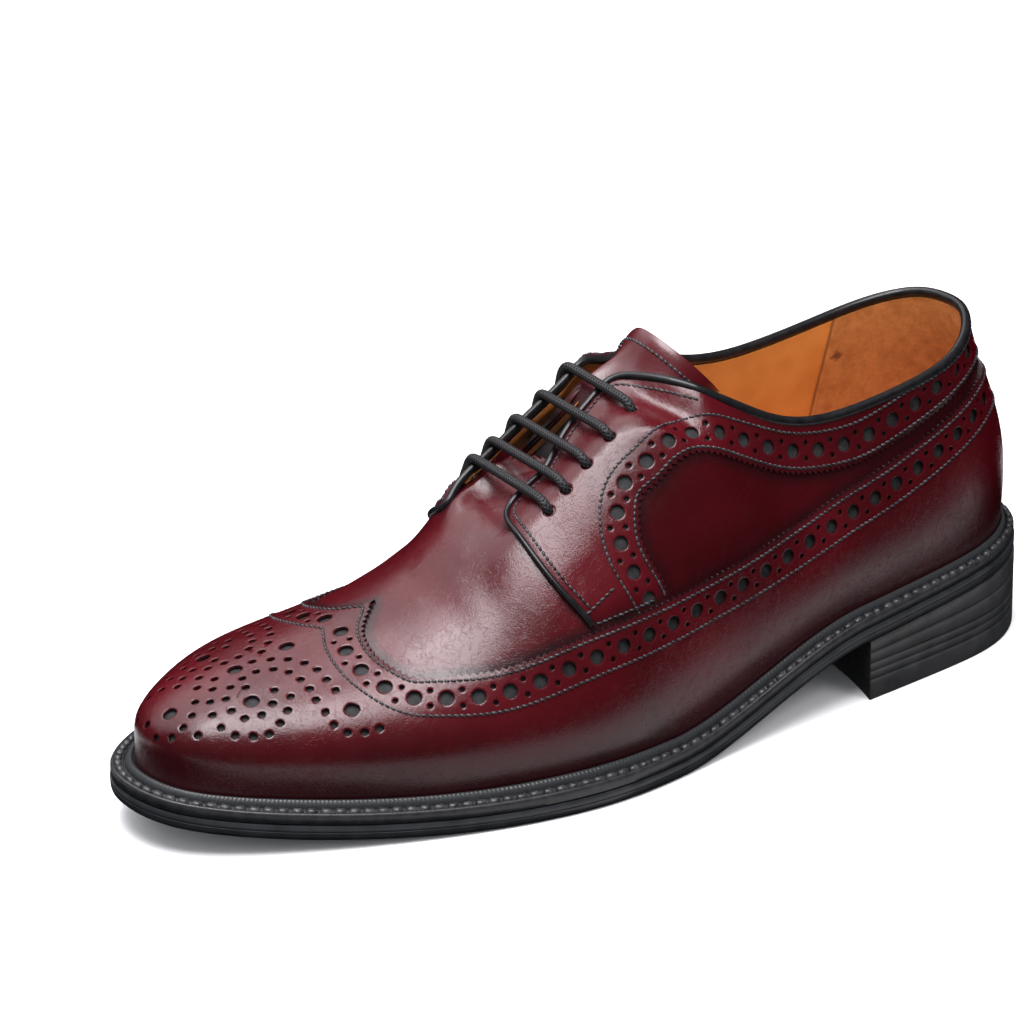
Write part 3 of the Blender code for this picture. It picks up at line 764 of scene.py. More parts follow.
def toe_rings():
    """The ornament of the toe cap."""
    rings = []
    for middle, pairs, size, count in ((TOE_BIG, TOE_BIG_PAIRS, HOLE_BIG, 20),
                                       (TOE_SMALL, TOE_SMALL_PAIRS, TOE_HOLE, 14)):
        both = [(s, y * k) for s, y in pairs for k in (1, -1)]
        rings += [(toe_ring(spot, size / 2, count), size) for spot in (*middle, *both)]
    return rings


def wider(ring, more):
    """A ring about the same middle, larger by a distance."""
    p = on_last(ring)
    mid = p.mean(0)
    n = unit(last(ring[:, 0], ring[:, 1])[1])
    away = p - mid
    away = unit(away - n * (away * n).sum(1)[:, None])
    return ring + hops(ring[:, 0], ring[:, 1], away * more)


def inside(points, loops):
    """Even-odd test of flat points against closed loops."""
    hit = np.zeros(len(points), bool)
    for loop in loops:
        ax, ay = loop.T
        bx, by = np.roll(loop, -1, 0).T
        slope = (bx - ax) / np.where(by == ay, 1e-12, by - ay)
        for part in np.array_split(np.arange(len(points)), len(points) * len(loop) // 6000000 + 1):
            x, y = points[part].T[:, :, None]
            cross = (ay > y) != (by > y)
            hit[part] ^= (cross & (x < ax + (y - ay) * slope)).sum(1) % 2 == 1
    return hit


def make_spots(step):
    """Points over the whole last in staggered rows."""
    spots = []
    w = np.linspace(0, 2, 2600, endpoint=False)
    span = last.span(w)
    for k, g in enumerate(np.arange(step / 2, span.max(), step * 0.87)):
        p = last(w, np.minimum(g, span))[0]
        run = np.cumsum(np.linalg.norm(p - np.roll(p, 1, 0), axis=1)) / step + k % 2 / 2
        pick = np.diff(np.floor(run), prepend=0) > 0
        spots.append(np.stack([w, np.full_like(w, g)], 1)[pick & (g < span - 0.6)])
    ridge = turn(np.arange(0.54 * LENGTH, TOE_FAN, step) / LENGTH)
    spots.append(np.stack([ridge, last.span(ridge)], 1))
    return np.concatenate(spots)


SPOTS = make_spots(1.7)
SPOTS_FLAT = last.flat(SPOTS[:, 0], SPOTS[:, 1])
SPOTS_POINT = on_last(SPOTS)


def tree_of(points):
    tree = KDTree(len(points))
    for i, p in enumerate(points):
        tree.insert(Vector(p), i)
    tree.balance()
    return tree


def distances(points, tree):
    return np.array([tree.find(Vector(p))[2] for p in points])


def piece(name, points, faces, mat, nodes, sharp=50.0, data=None, recalc=False):
    """Mesh piece on the body, shown in place of its nodes."""
    mesh = bpy.data.meshes.new(name)
    mesh.from_pydata(to_world(points).tolist(), [], faces)
    for key, values in (data or {}).items():
        mesh.attributes.new(key, "FLOAT", "POINT").data.foreach_set("value", np.asarray(values, float))
    if recalc:
        bm = bmesh.new()
        bm.from_mesh(mesh)
        bmesh.ops.recalc_face_normals(bm, faces=bm.faces)
        bm.to_mesh(mesh)
        bm.free()
    mesh.shade_smooth()
    mesh.set_sharp_from_angle(angle=math.radians(sharp))
    mesh.materials.append(mat)
    obj = bpy.data.objects.new(name, mesh)
    bpy.context.scene.collection.objects.link(obj)
    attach(obj, "root")
    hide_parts(*nodes)
    return obj


def solid_faces(faces, flat, rims, loops):
    """Triangles of the sheet: not inside a hole, and inside the loops."""
    owner = np.full(len(flat), -1)
    start = 0
    for k, rim in enumerate(rims):
        owner[start:start + len(rim)] = k
        start += len(rim)
    kind = owner[faces]
    filled = (kind[:, 0] >= loops) & (kind[:, 0] == kind[:, 1]) & (kind[:, 1] == kind[:, 2])
    bounds = np.split(flat[:start], np.cumsum([len(rim) for rim in rims])[:-1])[:loops]
    return ~filled & inside(flat[faces].mean(1), bounds)


def clear_of(points, holes):
    """Whether points of the last lie outside all holes."""
    if not holes:
        return np.ones(len(points), bool)
    tree = tree_of([on_last(ring).mean(0) for ring, _ in holes])
    found = [tree.find(Vector(p)) for p in points]
    return np.array([gap > holes[k][1] / 2 + 0.2 for _, k, gap in found])


def lips_of(loops, holes):
    """Rings about the holes that keep their rounded lips narrow."""
    if not holes:
        return []
    lips = [wider(ring, LIP) for ring, _ in holes]
    flats = np.concatenate([wider(ring, LIP_FLAT) for ring, _ in holes])
    flats = flats[clear_of(on_last(flats), holes)]
    taken = tree_of(on_last(np.concatenate([*loops, *lips])))
    return [*lips, flats[distances(on_last(flats), taken) > LIP_GAP]]


def triangulated(loops, holes, rows):
    """Points (turn, girth) and triangles of a sheet, and which of the points lie on a cut edge."""
    rims = [*loops, *(ring for ring, _ in holes)]
    edges = []
    count = 0
    for rim in rims:
        edges += [(count + i, count + (i + 1) % len(rim)) for i in range(len(rim))]
        count += len(rim)
    fixed = np.concatenate([*rims, *lips_of(loops, holes), *rows])
    keep = inside(SPOTS_FLAT, [last.flat(*loop.T) for loop in loops])
    keep[keep] = distances(SPOTS_POINT[keep], tree_of(on_last(fixed))) > SPOT_CLEAR
    keep[keep] = clear_of(SPOTS_POINT[keep], holes)
    wg = np.concatenate([fixed, SPOTS[keep]])
    flat = last.flat(*wg.T)
    found = delaunay_2d_cdt([Vector(p) for p in flat], edges, [], 0, 1e-5)
    origin = np.array([o[0] if o else -1 for o in found[3]])
    for i in np.flatnonzero(origin < 0):
        origin[i] = int(np.argmin(((flat - np.array(found[0][i])) ** 2).sum(1)))
    faces = np.array(found[2])
    faces = faces[solid_faces(origin[faces], flat, rims, len(loops))]
    return wg[origin], faces, origin < count


def panel(name, loops, holes, rows, level, mat, depth=0.98, over=None, own=None):
    """Leather sheet inside loops of (turn, girth): its edges rounded over, holes punched through.

    rows are lines just inside the edges that keep the rounding narrow; over are the edges of the
    pieces that lie on this one, for the dark finish and painted shade beside them; own its own cut edge, for
    the dark finish beside it.
    """
    wg, faces, rim = triangulated(loops, holes, rows)
    p, n = last(*wg.T)
    lift = level(wg, p)
    top = p + n * (lift - EDGE_SOFT * rim)[:, None]
    a, b, c = (top[faces[:, k]] for k in range(3))
    away = (np.cross(b - a, c - a) * n[faces[:, 0]]).sum(1) > 0
    faces[away] = faces[away][:, ::-1]
    low = np.flatnonzero(rim)
    under = np.full(len(wg), -1)
    under[low] = len(wg) + np.arange(len(low))
    drop = depth(wg[low]) if callable(depth) else depth
    points = np.concatenate([top, p[low] + n[low] * (lift[low] - drop)[:, None]])
    sides = {(int(f[k]), int(f[k - 2])) for f in faces for k in range(3)}
    walls = [(j, i, under[i], under[j]) for i, j in sides if (j, i) not in sides and rim[i] and rim[j]]
    shade = np.full(len(points), FAR)
    if over is not None:
        shade[:len(wg)] = distances(p, tree_of(on_last(over)))
    trim = np.full(len(points), FAR)
    if own is not None:
        trim[:len(wg)] = distances(p, tree_of(on_last(own)))
        trim[len(wg):] = trim[low]
    hole = np.zeros(len(points))
    hole[len(wg):] = 1.0
    foot = np.concatenate([wg[:, 1], wg[low, 1]])
    return piece(name, points, [*map(tuple, faces.tolist()), *walls], mat, ["upper"],
                 data={"edge": shade, "trim": trim, "wall": hole, "foot": foot})


def quads(rows, cols, start=0, ring=True):
    """Faces between rows of vertices, each row closed on itself if it is a ring."""
    faces = []
    for k in range(start, start + (rows - 1) * cols, cols):
        for i in range(cols if ring else cols - 1):
            j = (i + 1) % cols
            faces.append((k + i, k + j, k + cols + j, k + cols + i))
    return faces


def sweep(points, radius, sides=12, seed=(0.0, 0.0, 1.0)):
    """Round cord along a line: vertices, faces, and run and round of each vertex."""
    points = np.asarray(points, float)
    t = unit(np.gradient(points, axis=0))
    side = np.zeros_like(t)
    way = np.cross(t[0], seed)
    for i, axis in enumerate(t):
        way = way - axis * (way @ axis)
        way = way / np.linalg.norm(way)
        side[i] = way
    up = np.cross(t, side)
    a = np.linspace(0, 2 * np.pi, sides + 1) - np.pi / 2
    ring = np.cos(a)[:, None] * side[:, None] + np.sin(a)[:, None] * up[:, None]
    radius = np.broadcast_to(radius, len(points))[:, None, None]
    verts = (points[:, None] + radius * ring).reshape(-1, 3)
    m = sides + 1
    faces = quads(len(points), m, ring=False)
    faces += [tuple(range(m)), tuple(range(len(verts) - m, len(verts)))]
    run = np.repeat(lengths(points), m)
    return verts, faces, run, np.tile(np.linspace(0, 1, m), len(points))


def joined(sweeps):
    verts, faces, run, round_ = [], [], [], []
    count = 0
    for v, f, a, b in sweeps:
        verts.append(v)
        faces += [tuple(i + count for i in face) for face in f]
        run.append(a)
        round_.append(b)
        count += len(v)
    return np.concatenate(verts), faces, {"run": np.concatenate(run), "round": np.concatenate(round_)}


def stitch_mesh(spots, along, out, long, thick, sink):
    """Short rounded threads, all in one mesh."""
    cut = np.array([-0.5, -0.32, 0.32, 0.5]) * long
    size = np.array([0.45, 1.0, 1.0, 0.45]) * thick
    dip = np.array([-sink, 0.0, 0.0, -sink])
    a = np.arange(6) * np.pi / 3
    side = np.cross(out, along)
    ring = (np.cos(a)[None, :, None] * side[:, None] + np.sin(a)[None, :, None] * out[:, None])[:, None]
    verts = (spots[:, None, None] + cut[:, None, None] * along[:, None, None]
             + dip[:, None, None] * out[:, None, None] + size[:, None, None] * ring)
    faces = []
    for n in range(len(spots)):
        k = n * 24
        faces += quads(4, 6, k)
        faces += [tuple(range(k, k + 6)), tuple(range(k + 18, k + 24))]
    return verts.reshape(-1, 3), faces


def stitch_row(line, level, pitch):
    """Places, run and outward direction of the stitches of a row on the last."""
    line = spread(line, pitch)
    mid = (line[1:] + line[:-1]) / 2
    p, n = last(*mid.T)
    return p + n * level(mid, p)[:, None], unit(np.diff(on_last(line), axis=0)), n


# soft troughs and ridges of the worn leather: path in share of length and girth, sides, half width, depth
CREASES = (
    (((0.572, 60.0), (0.583, 56.0), (0.590, 50.0), (0.588, 45.0)), (-1,), 2.6, -0.35),
    (((0.560, 62.0), (0.566, 56.0), (0.562, 50.0)), (-1,), 2.2, -0.28),
    (((0.548, 66.0), (0.545, 60.0), (0.540, 55.0)), (-1,), 2.2, -0.22),
    (((0.640, 92.0), (0.650, 70.0), (0.655, 48.0)), SIDES, 5.0, -0.35),
    (((0.690, 84.0), (0.690, 66.0), (0.680, 46.0)), SIDES, 5.0, -0.30),
)


def make_creases():
    """Lines of the creases on the last, with their half widths and their depths along them."""
    out = []
    fine = np.linspace(0, 1, 40)
    fade = np.sin(np.pi * np.clip(fine * 0.9 + 0.05, 0, 1)) ** 0.6
    for path, sides, width, depth in CREASES:
        share, g = columns(path)
        t = np.linspace(0, 1, len(share))
        for side in sides:
            w = side_turn(spline(t, share)(fine), side)
            line = np.stack([w, np.minimum(spline(t, g)(fine), last.span(w))], 1)
            out.append((on_last(line), width, depth * fade))
    return out


STROKES = make_creases()


def creased(p):
    """Height of the creases at points of the last."""
    total = np.zeros(len(p))
    for line, width, depth in STROKES:
        near = np.flatnonzero(np.abs(p - line.mean(0)).max(1) < 60)
        if len(near):
            gap = np.linalg.norm(p[near][:, None] - line[None], axis=2)
            k = gap.argmin(1)
            total[near] += depth[k] * np.exp(-(gap.min(1) / width) ** 2)
    return total


def wing_level(wg, p):
    return creased(p)


def under_level(wg, p):
    """Vamp and quarters lie a step under the wing; the vamp sinks to the tongue at the throat."""
    share = share_of(wg[:, 0] % 2)
    rho = last.span(wg[:, 0]) - wg[:, 1]
    dip = smooth((0.628 - share) / 0.032) * smooth((share - 0.53) / 0.02) * smooth((19.0 - rho) / 6.0)
    tail = smooth((0.583 - share) / 0.028) * smooth((share - 0.53) / 0.02) * smooth((17.0 - rho) / 6.0)
    return creased(p) - STEP - VAMP_DIP * dip - VAMP_TAIL * tail


def band_level(wg, p):
    """Facing and collar band: up on the quarters, down under the wing's edge."""
    low = wg[:, 1] - WING_LINE(share_of(wg[:, 0] % 2))
    return creased(p) - BAND_LOW + BAND_RISE * smooth(low / 7.0)


def closed(lateral, medial):
    """Loop from two mirrored lines, both from their first to their last point."""
    return np.concatenate([lateral, medial[::-1]])


def heel_on(a, b):
    """Line that ends at the heel joined to one that starts there."""
    return np.concatenate([a, b[1:]])


def apart(rings):
    """Rings that keep clear of the ones before them."""
    kept = []
    for ring, size in rings:
        mid = on_last(ring).mean(0)
        if all(np.linalg.norm(mid - m) > (size + s) / 2 + 0.9 for m, s, _ in kept):
            kept.append((mid, size, ring))
    return [(ring, size) for _, size, ring in kept]


def eyelet_rings(radius):
    """Rings of all eyelets, outer side first."""
    spots = [eyelet_spot(share, half, side) for side in SIDES for share, half in EYELETS]
    return [(hole_ring(spot, radius, 18), 2 * radius) for spot in spots]


def eyelet_spot(share, half, side):
    """Turn and girth over a plan distance from the spine; the bars slant to the toe inwards."""
    slant = 0.5 + 0.5 * side * half / EYELETS[0][1]
    w = float(side_turn(share + LACE_SKEW * slant, side))
    i = int(round(w / 2 * last.COLUMNS))
    line = last.radii[i]
    top = int(np.argmax(line))
    f = np.interp(-half, -line[top:], np.arange(top, last.ROWS + 1))
    return w, float(f / last.ROWS * last.spans[i])


def between(line, low, high):
    share = share_of(line[:, 0] % 2)
    return line[(share >= low) & (share <= high)]


def build_wing(mat):
    """Wing cap and wings in one, all round the shoe."""
    w = np.linspace(0, 2, 440, endpoint=False)
    feather = np.stack([w, np.zeros_like(w)], 1)
    edges = [wing_line(side) for side in SIDES]
    teeth = [gimped(edge) for edge in edges]
    loops = [feather, closed(teeth[0], teeth[1][1:-1])]
    rows = [np.stack([w, np.full_like(w, 0.7)], 1)]
    rows += [ridge_cut(spread(inset(edge, GIMP_DEPTH + 0.5), 1.2)) for edge in edges]
    holes = apart([*brogue_row(edges[0]), *brogue_row(edges[1]), *toe_rings()])
    return panel("wing_cap", loops, holes, rows, wing_level, mat, own=np.concatenate(edges))


def build_vamp(mat):
    back = 0.553
    halves = []
    for side in SIDES:
        hem = ridge_cut(inset(wing_line(side), 4.0))
        hem = hem[share_of(hem[:, 0] % 2) >= back]
        w = float(side_turn(back, side))
        g = np.arange(float(last.span(w)) - 0.5, hem[0, 1] + 1.0, -2.0)
        halves.append(np.concatenate([np.stack([np.full_like(g, w), g], 1), hem]))
    over = np.concatenate([f(side) for side in SIDES for f in (wing_line, facing_line)])
    return panel("vamp", [closed(*halves)], [], [], under_level, mat, over=over)


def build_quarters(mat):
    """Recess of the quarters, in one round the heel."""
    hems = [between(inset(wing_line(side), 4.0), 0.0, 0.515) for side in SIDES]
    tops = [inset(band_line(side), 4.0) for side in SIDES]
    low = heel_on(hems[0][::-1], hems[1])
    high = heel_on(tops[0], tops[1][::-1])
    over = np.concatenate([f(side) for side in SIDES for f in (wing_line, band_line)])
    return panel("quarters", [closed(low, high)], [], [], under_level, mat, over=over)


def build_band(mat):
    """Facings and collar band in one, from throat to throat round the heel."""
    outer, inner, rows = [], [], []
    for side in SIDES:
        outer.append(np.concatenate([facing_line(side), top_line(side)[1:]]))
        teeth = gimped(band_line(side))
        foot = teeth[0] - (0, 4.0)
        inner.append(np.concatenate([foot[None], teeth]))
        rows.append(spread(inset(band_line(side), GIMP_DEPTH + 0.5), 1.2))
        rows.append(spread(inset(facing_line(side)[6:-4], -0.5), 1.2))
        rows.append(spread(inset(top_line(side)[4:], -0.5), 1.2))
    loop = closed(heel_on(outer[0], outer[1][::-1]), heel_on(inner[0], inner[1][::-1]))
    holes = apart([*eyelet_rings(EYELET), *brogue_row(band_line(-1)), *brogue_row(band_line(1))])
    over = np.concatenate([between(wing_line(side), 0.48, 0.60) for side in SIDES])

    def depth(wg):
        return np.where(wg[:, 1] > last.top(wg[:, 0]) - 0.8, 2.2, 0.95)

    own = np.concatenate([band_line(side) for side in SIDES])
    return panel("facing_band", [loop], holes, rows, band_level, mat, depth, over, own)


def inner_loops(low, under):
    """Loops of the sheets behind the leather: over the insole, and round the mouth and throat."""
    end = 0.645
    w = turn(np.concatenate([share_of(np.linspace(0, turn(0.4), 150)), np.linspace(0.402, end, 90)]))
    share = share_of(w)
    cut = 18.0 * np.sqrt(np.clip(1 - (np.clip(share - 0.6, 0, None) / (end - 0.6)) ** 2, 0, 1))
    mouth = []
    for side in SIDES:
        at = side_turn(share, side)
        g = np.where(share > 0.6, last.span(at) - cut, last.top(at) - under)
        mouth.append(np.stack([at, np.minimum(g, last.top(at) - under)], 1))
    ring = np.linspace(0, 2, 300, endpoint=False)
    foot = np.stack([ring, np.full_like(ring, low)], 1)
    return [foot, closed(mouth[0], mouth[1][1:-1])]


def build_backing(mat):
    """Dark cloth seen through the holes."""
    return panel("backing", inner_loops(2.0, 1.2), eyelet_rings(EYELET + 0.3), [],
                 lambda wg, p: creased(p) - BACKING_LEVEL, mat, 0.4)


def build_lining(mat):
    return panel("lining", inner_loops(3.5, 0.4), eyelet_rings(EYELET + 0.2), [],
                 lambda wg, p: creased(p) * 0.5 - WALL, mat, -0.7,
                 # edges of the throat's top line, beside which a painted shadow goes on the lining
                 over=np.concatenate([between(top_line(side), 0.47, 0.60) for side in SIDES]))


def tongue_point(t, a, depth):
    """Tongue: t from under the vamp to its free end, a across it from -1 to 1."""
    t, a = np.broadcast_arrays(t, a)
    s = TONGUE_START + (TONGUE_END - TONGUE_START) * t
    w = turn(np.maximum(s, TONGUE_STOP))
    w = np.where(a <= 0, w, 2 - w)
    full = last.span(w)
    p, n = last(w, full - np.where(a > 0, TONGUE_INNER_REACH, TONGUE_REACH) * np.abs(a))
    top, over = last(w, full)
    depth = np.broadcast_to(depth, a.shape)[..., None]
    p = p - depth * n
    out = np.clip(TONGUE_STOP - s, 0, None) * LENGTH
    bend = TONGUE_BEND * a
    size = TONGUE_CURL - (depth[..., 0] - WALL - TONGUE_CLEAR)
    drop = size * (np.cos(bend) - 1) / math.hypot(1, TONGUE_CLIMB)
    arc = top - depth * over + np.stack([TONGUE_CLIMB * drop, size * np.sin(bend), drop], -1)
    p = p + (arc - p) * smooth(out / 22.0)[..., None]
    return p + np.stack([-out, 0 * out, TONGUE_CLIMB * out + THROAT_PRESS * smooth((out - 12.0) / 10.0)], -1)


def tongue_end(a):
    """Length of the tongue across it, as a share of its middle."""
    return 1 + np.where(a < 0, 0.03, -0.16) * a * a


def build_tongue(mat):
    """Lined sheet, its edges rolled over."""
    along = 90
    across = 56
    a = np.linspace(-1, 1, across + 1)
    t = np.linspace(0, 1, along + 1)[:, None] * tongue_end(a)
    i, j = np.mgrid[0:along + 1, 0:across + 1]
    rim = np.minimum.reduce([j, across - j, along - i])
    roll = 0.7 * np.exp(-rim / 1.1)
    share = TONGUE_START + (TONGUE_END - TONGUE_START) * t
    free = smooth((TONGUE_STOP + 0.03 - share) / 0.05)
    laced = smooth((a - 0.1) / 0.3) * smooth((share - 0.44) / 0.025)
    sunk = WALL + TONGUE_CLEAR + TONGUE_SINK * (1 - free) + TONGUE_INNER_SINK * laced * free
    rows = [tongue_point(t, a, sunk + roll), tongue_point(t, a, sunk + TONGUE - roll)]
    m = across + 1
    total = (along + 1) * m
    faces = quads(along + 1, m, 0, False) + quads(along + 1, m, total, False)
    ring = [i * m for i in range(along + 1)] + [along * m + j for j in range(1, m)]
    ring += [i * m + across for i in range(along - 1, -1, -1)] + [j for j in range(across - 1, 0, -1)]
    faces += [(ring[k], ring[k - 1], ring[k - 1] + total, ring[k] + total) for k in range(len(ring))]
    inner = np.repeat([0.0, 1.0], total)
    # share of the tongue under the lace, where its colour carries painted shade
    under = np.tile(1 - smooth((t - 0.55) / 0.2).ravel(), 2)
    points = np.concatenate([r.reshape(-1, 3) for r in rows])
    data = {"inner": inner, "under": under}
    return piece("tongue_sheet", points, faces, mat, ["tongue"], 60.0, data, True)


def piping_path():
    """Line beside the facing's front edge, then over the top line of both sides, with its radius."""
    base, out, kind = [], [], []
    for side in SIDES:
        front = facing_line(side)[5:]
        line = np.concatenate([front, top_line(side)[1:]])
        share = share_of(line[:, 0] % 2)
        facing = np.clip((share - 0.42) / 0.08, 0, 1) * (1.0 if side < 0 else 0.5)
        p, n = last(*line.T)
        order = slice(None) if side < 0 else slice(-2, None, -1)
        base.append(p[order])
        out.append(n[order])
        kind.append(facing[order])
    base = smoothed(np.concatenate(base), 3)
    out = unit(smoothed(np.concatenate(out), 3))
    facing = np.concatenate(kind)[:, None]
    side = unit(np.cross(np.gradient(smoothed(base, 6), axis=0), out))
    radius = PIPING + (PIPING_FACING - PIPING) * facing
    over = (PIPING_FACING - STEP - 0.1) * facing - WALL / 2 * (1 - facing)
    path = smoothed(base + side * radius * 0.7 + out * over, 4)
    return even(np.hstack([path, radius]), 1.0)


def build_piping(mat):
    path = piping_path()
    verts, faces, data = joined([sweep(path[:, :3], path[:, 3], 16)])
    return piece("piping_cord", verts, faces, mat, ["topline_piping"], 60, data)


def lace_path(share, half):
    """One bar: up out of an eyelet, straight over both piped edges, down into the other."""
    lips = []
    for side in SIDES:
        p, n = last(*np.array(eyelet_spot(share, half, side))[:, None])
        lips.append([p[0] + up * n[0] for up in LACE_ENDS])
    near, far = lips[0][2], lips[1][2]
    t = np.linspace(0.06, 0.94, 45)[:, None]
    s, y = (near + (far - near) * t)[:, :2].T
    over = np.stack([s, y, last.height(s, y)], 1)
    edges = []
    for side in SIDES:
        w = float(side_turn(share + LACE_SKEW * (0.5 + 0.3 * side), side))
        edges.append(float(last(np.array([w]), last.top(np.array([w])))[0][0, 1]))
    rim = np.minimum(np.abs(y - edges[0]), np.abs(y - edges[1]))
    over[:, 2] += LACE + 0.4 + PIPING_FACING * np.exp(-(rim / 2.5) ** 2)
    bar = taut(over[(y < edges[0] + 1.0) | (y > edges[1] - 1.0)])
    path = np.array([*lips[0], *bar, *lips[1][::-1]])
    return even(smoothed(even(path, 0.8), 8), 0.7)


def taut(path):
    """The points of a pulled cord that bear on what lies under it."""
    kept = []
    for point in path:
        while len(kept) > 1:
            (_, y0, z0), (_, y1, z1) = kept[-2:]
            if (y1 - y0) * (point[2] - z0) < (point[1] - y0) * (z1 - z0):
                break
            kept.pop()
        kept.append(point)
    return np.array(kept)


def lace_run(near, far):
    """Hidden run under the facings from one eyelet to the next one over."""
    ends = []
    for (share, half), side in ((near, -1), (far, 1)):
        w, g = eyelet_spot(share, half, side)
        p, n = last(np.array([w]), np.array([g]))
        ends.append(p[0] - (WALL + LACE_RUN_END) * n[0])
    a, b = ends
    t = np.linspace(0, 1, 41)[:, None]
    path = a + (b - a) * t
    path[:, 2] = np.minimum(path[:, 2], last.height(*path.T[:2]) - WALL - LACE_RUN_DEPTH)
    return even(smoothed(path, 2), 0.8)


def build_laces(mat):
    for row, (share, half) in enumerate(EYELETS, 1):
        sweeps = [sweep(lace_path(share, half), LACE, 16, (0.0, 0.0, -1.0))]
        if row < len(EYELETS):
            sweeps.append(sweep(lace_run(EYELETS[row - 1], EYELETS[row]), LACE * LACE_SQUEEZE, 12))
        verts, faces, data = joined(sweeps)
        piece(f"lace_{row}", verts, faces, mat, [f"lace_bar_{row}"], 60, data)


def sole_ring(count):
    """Spine station, ray and length round the outline, with the run along it."""
    w = np.linspace(0, 2, count, endpoint=False)
    c, dx, dy, r = ray(w)
    edge = np.stack([c + dx * r, dy * r, 0 * r], 1)
    run = lengths(np.concatenate([edge, edge[:1]]))
    return w, c, dx, dy, r, run[:-1]


def on_sole(c, dx, dy, at, lift):
    """Points on the rays at a distance from the spine, at a height over the sole's top."""
    s = c + dx * at
    return np.stack([s, dy * at, sole_top(s) + lift], 1)


def lathe(name, count, rows, mat, nodes):
    """Ring or slab round the outline.

    Rows are the lines round its section in turn: distance in from the outline, share of the welt's
    width added to it, and height over the sole's top.
    """
    w, c, dx, dy, r, run = sole_ring(count)
    width = welt_width(w)
    verts = [on_sole(c, dx, dy, np.maximum(r - out - width * base, 0), lift) for out, base, lift in rows]
    end = (len(rows) - 1) * count
    faces = quads(len(rows), count)
    faces += [(end + i, end + (i + 1) % count, (i + 1) % count, i) for i in range(count)]
    data = {"run": np.tile(run, len(rows)), "across": np.repeat(np.arange(len(rows)), count)}
    return piece(name, np.concatenate(verts), faces, mat, nodes, 40.0, data, True)


WELT_CHANNEL = 0.34


def build_welt(mat):
    """Bead against the upper, groove, stitched channel and rim; base is a share of the welt's width."""
    rows = [
        (12.0, 1.0, -WELT), (0.9, 0.0, -WELT), (0.55, 0.0, -WELT + 0.3), (0.35, 0.0, -WELT * 0.55),
        (0.4, 0.0, -0.7), (0.65, 0.0, -0.2), (1.0, 0.0, 0.0), (1.4, 0.0, -0.02), (1.7, 0.0, -0.2),
        (0.3, 0.24, -0.6), (0.0, WELT_CHANNEL, -0.75), (-0.3, 0.44, -0.6), (0.0, 0.49, -0.15),
        (0.0, 0.55, -0.15), (0.0, 0.59, -0.5), (0.0, 0.615, -0.45), (0.0, 0.64, 0.5), (0.0, 0.70, 1.4),
        (0.0, 0.78, 1.9), (0.0, 0.87, 1.9), (0.0, 0.95, 1.3), (0.0, 1.02, 0.3), (1.0, 1.0, 0.0),
        (12.0, 1.0, 0.0),
    ]
    return lathe("welt_strip", 900, rows, mat, ["welt"])


def build_outsole(mat):
    """Slab with a rounded lower edge and a groove round its side."""
    thick = SOLE_EDGE - WELT - GAP
    section = ((LENGTH, 0.05), (30.0, 0.05), (8.0, 0.02), (1.6, 0.02), (0.9, 0.25), (0.35, 0.8), (0.15, 1.5),
               (0.1, thick * 0.55), (0.45, thick * 0.59), (0.45, thick * 0.63), (0.1, thick * 0.67),
               (0.1, thick - 0.5), (0.4, thick), (LENGTH, thick))
    rows = [(out, 0.0, up - SOLE_EDGE) for out, up in section]
    return lathe("sole_slab", 700, rows, mat, ["outsole"])


def heel_ring(extra):
    """Plan of the heel from the outer breast corner round the back and over the breast."""
    front = float(turn(BREAST))
    w = np.linspace(front, -front, 161)
    c, dx, dy, r = ray(w)
    back = np.stack([c + dx * (r - extra), dy * (r - extra)], 1)
    t = np.linspace(0, 1, 41)[1:-1, None]
    breast = back[-1] + (back[0] - back[-1]) * t
    breast[:, 0] -= 5.0 * (1 - (2 * t[:, 0] - 1) ** 2)
    return np.concatenate([back, breast])


def build_heel(mat):
    """Top piece and lifts, each with the fine lines of its leaves."""
    def seat(s):
        return HEEL_SEAT + HEEL_RISE * (BREAST * LENGTH - s) - 0.02

    def flat(z):
        return lambda s: 0 * s + z

    for name, low, high, leaves in (("heel_top_piece", flat(0.02), flat(6.72), 1),
                                    ("heel_lift_lower", flat(6.78), flat(12.1), 2),
                                    ("heel_lift_upper", flat(12.16), seat, 2)):
        levels = [((k + t) / leaves, cut) for k in range(leaves) for t, cut in HEEL_LEAF]
        levels.append((1.0, HEEL_LEAF[0][1]))
        verts = []
        for t, cut in levels:
            s, y = heel_ring(cut).T
            verts.append(np.stack([s, y, low(s) + (high(s) - low(s)) * t], 1))
        n = len(verts[0])
        end = (len(levels) - 1) * n
        faces = [tuple(range(n)), tuple(range(end, end + n)), *quads(len(levels), n)]
        piece(name + "_edge", np.concatenate(verts), faces, mat, [name], 40.0, None, True)


def build_insole(mat):
    """Sock over the insole."""
    count = 200
    w = np.linspace(0, 2, count, endpoint=False)
    c, dx, dy, r = ray(w)
    reach = r - welt_width(w) - WALL - 0.6
    base = GAP + MARGIN + SOCK_GAP + INSOLE
    verts = [on_sole(c, dx, dy, reach * share, base + lift)
             for share, lift in ((1.0, -INSOLE), (1.0, 0.0), (0.85, 0.0), (0.6, 0.0), (0.3, 0.0), (0.0, 0.0))]
    return piece("sock", np.concatenate(verts), quads(len(verts), count), mat, ["insole"])


STITCH_PITCH = 1.8
STITCH_LONG = 1.75
STITCH_THICK = 0.40
STITCH_TURN = 0.22
WELT_STITCH_PITCH = 4.0
WELT_STITCH_LONG = 3.4
WELT_STITCH_THICK = 1.2
WELT_STITCH_LEVEL = -0.35


def to_ridge(line, side):
    """A row led on to the ridge in its own direction."""
    gap = float(last.span(line[-1:, 0])[0]) - line[-1, 1]
    share = float(share_of(line[-1, 0] % 2)) - gap * 0.35 / LENGTH
    w = float(side_turn(share, side))
    return np.concatenate([line[:-1], [[w, float(last.span(np.array(w)))]]])


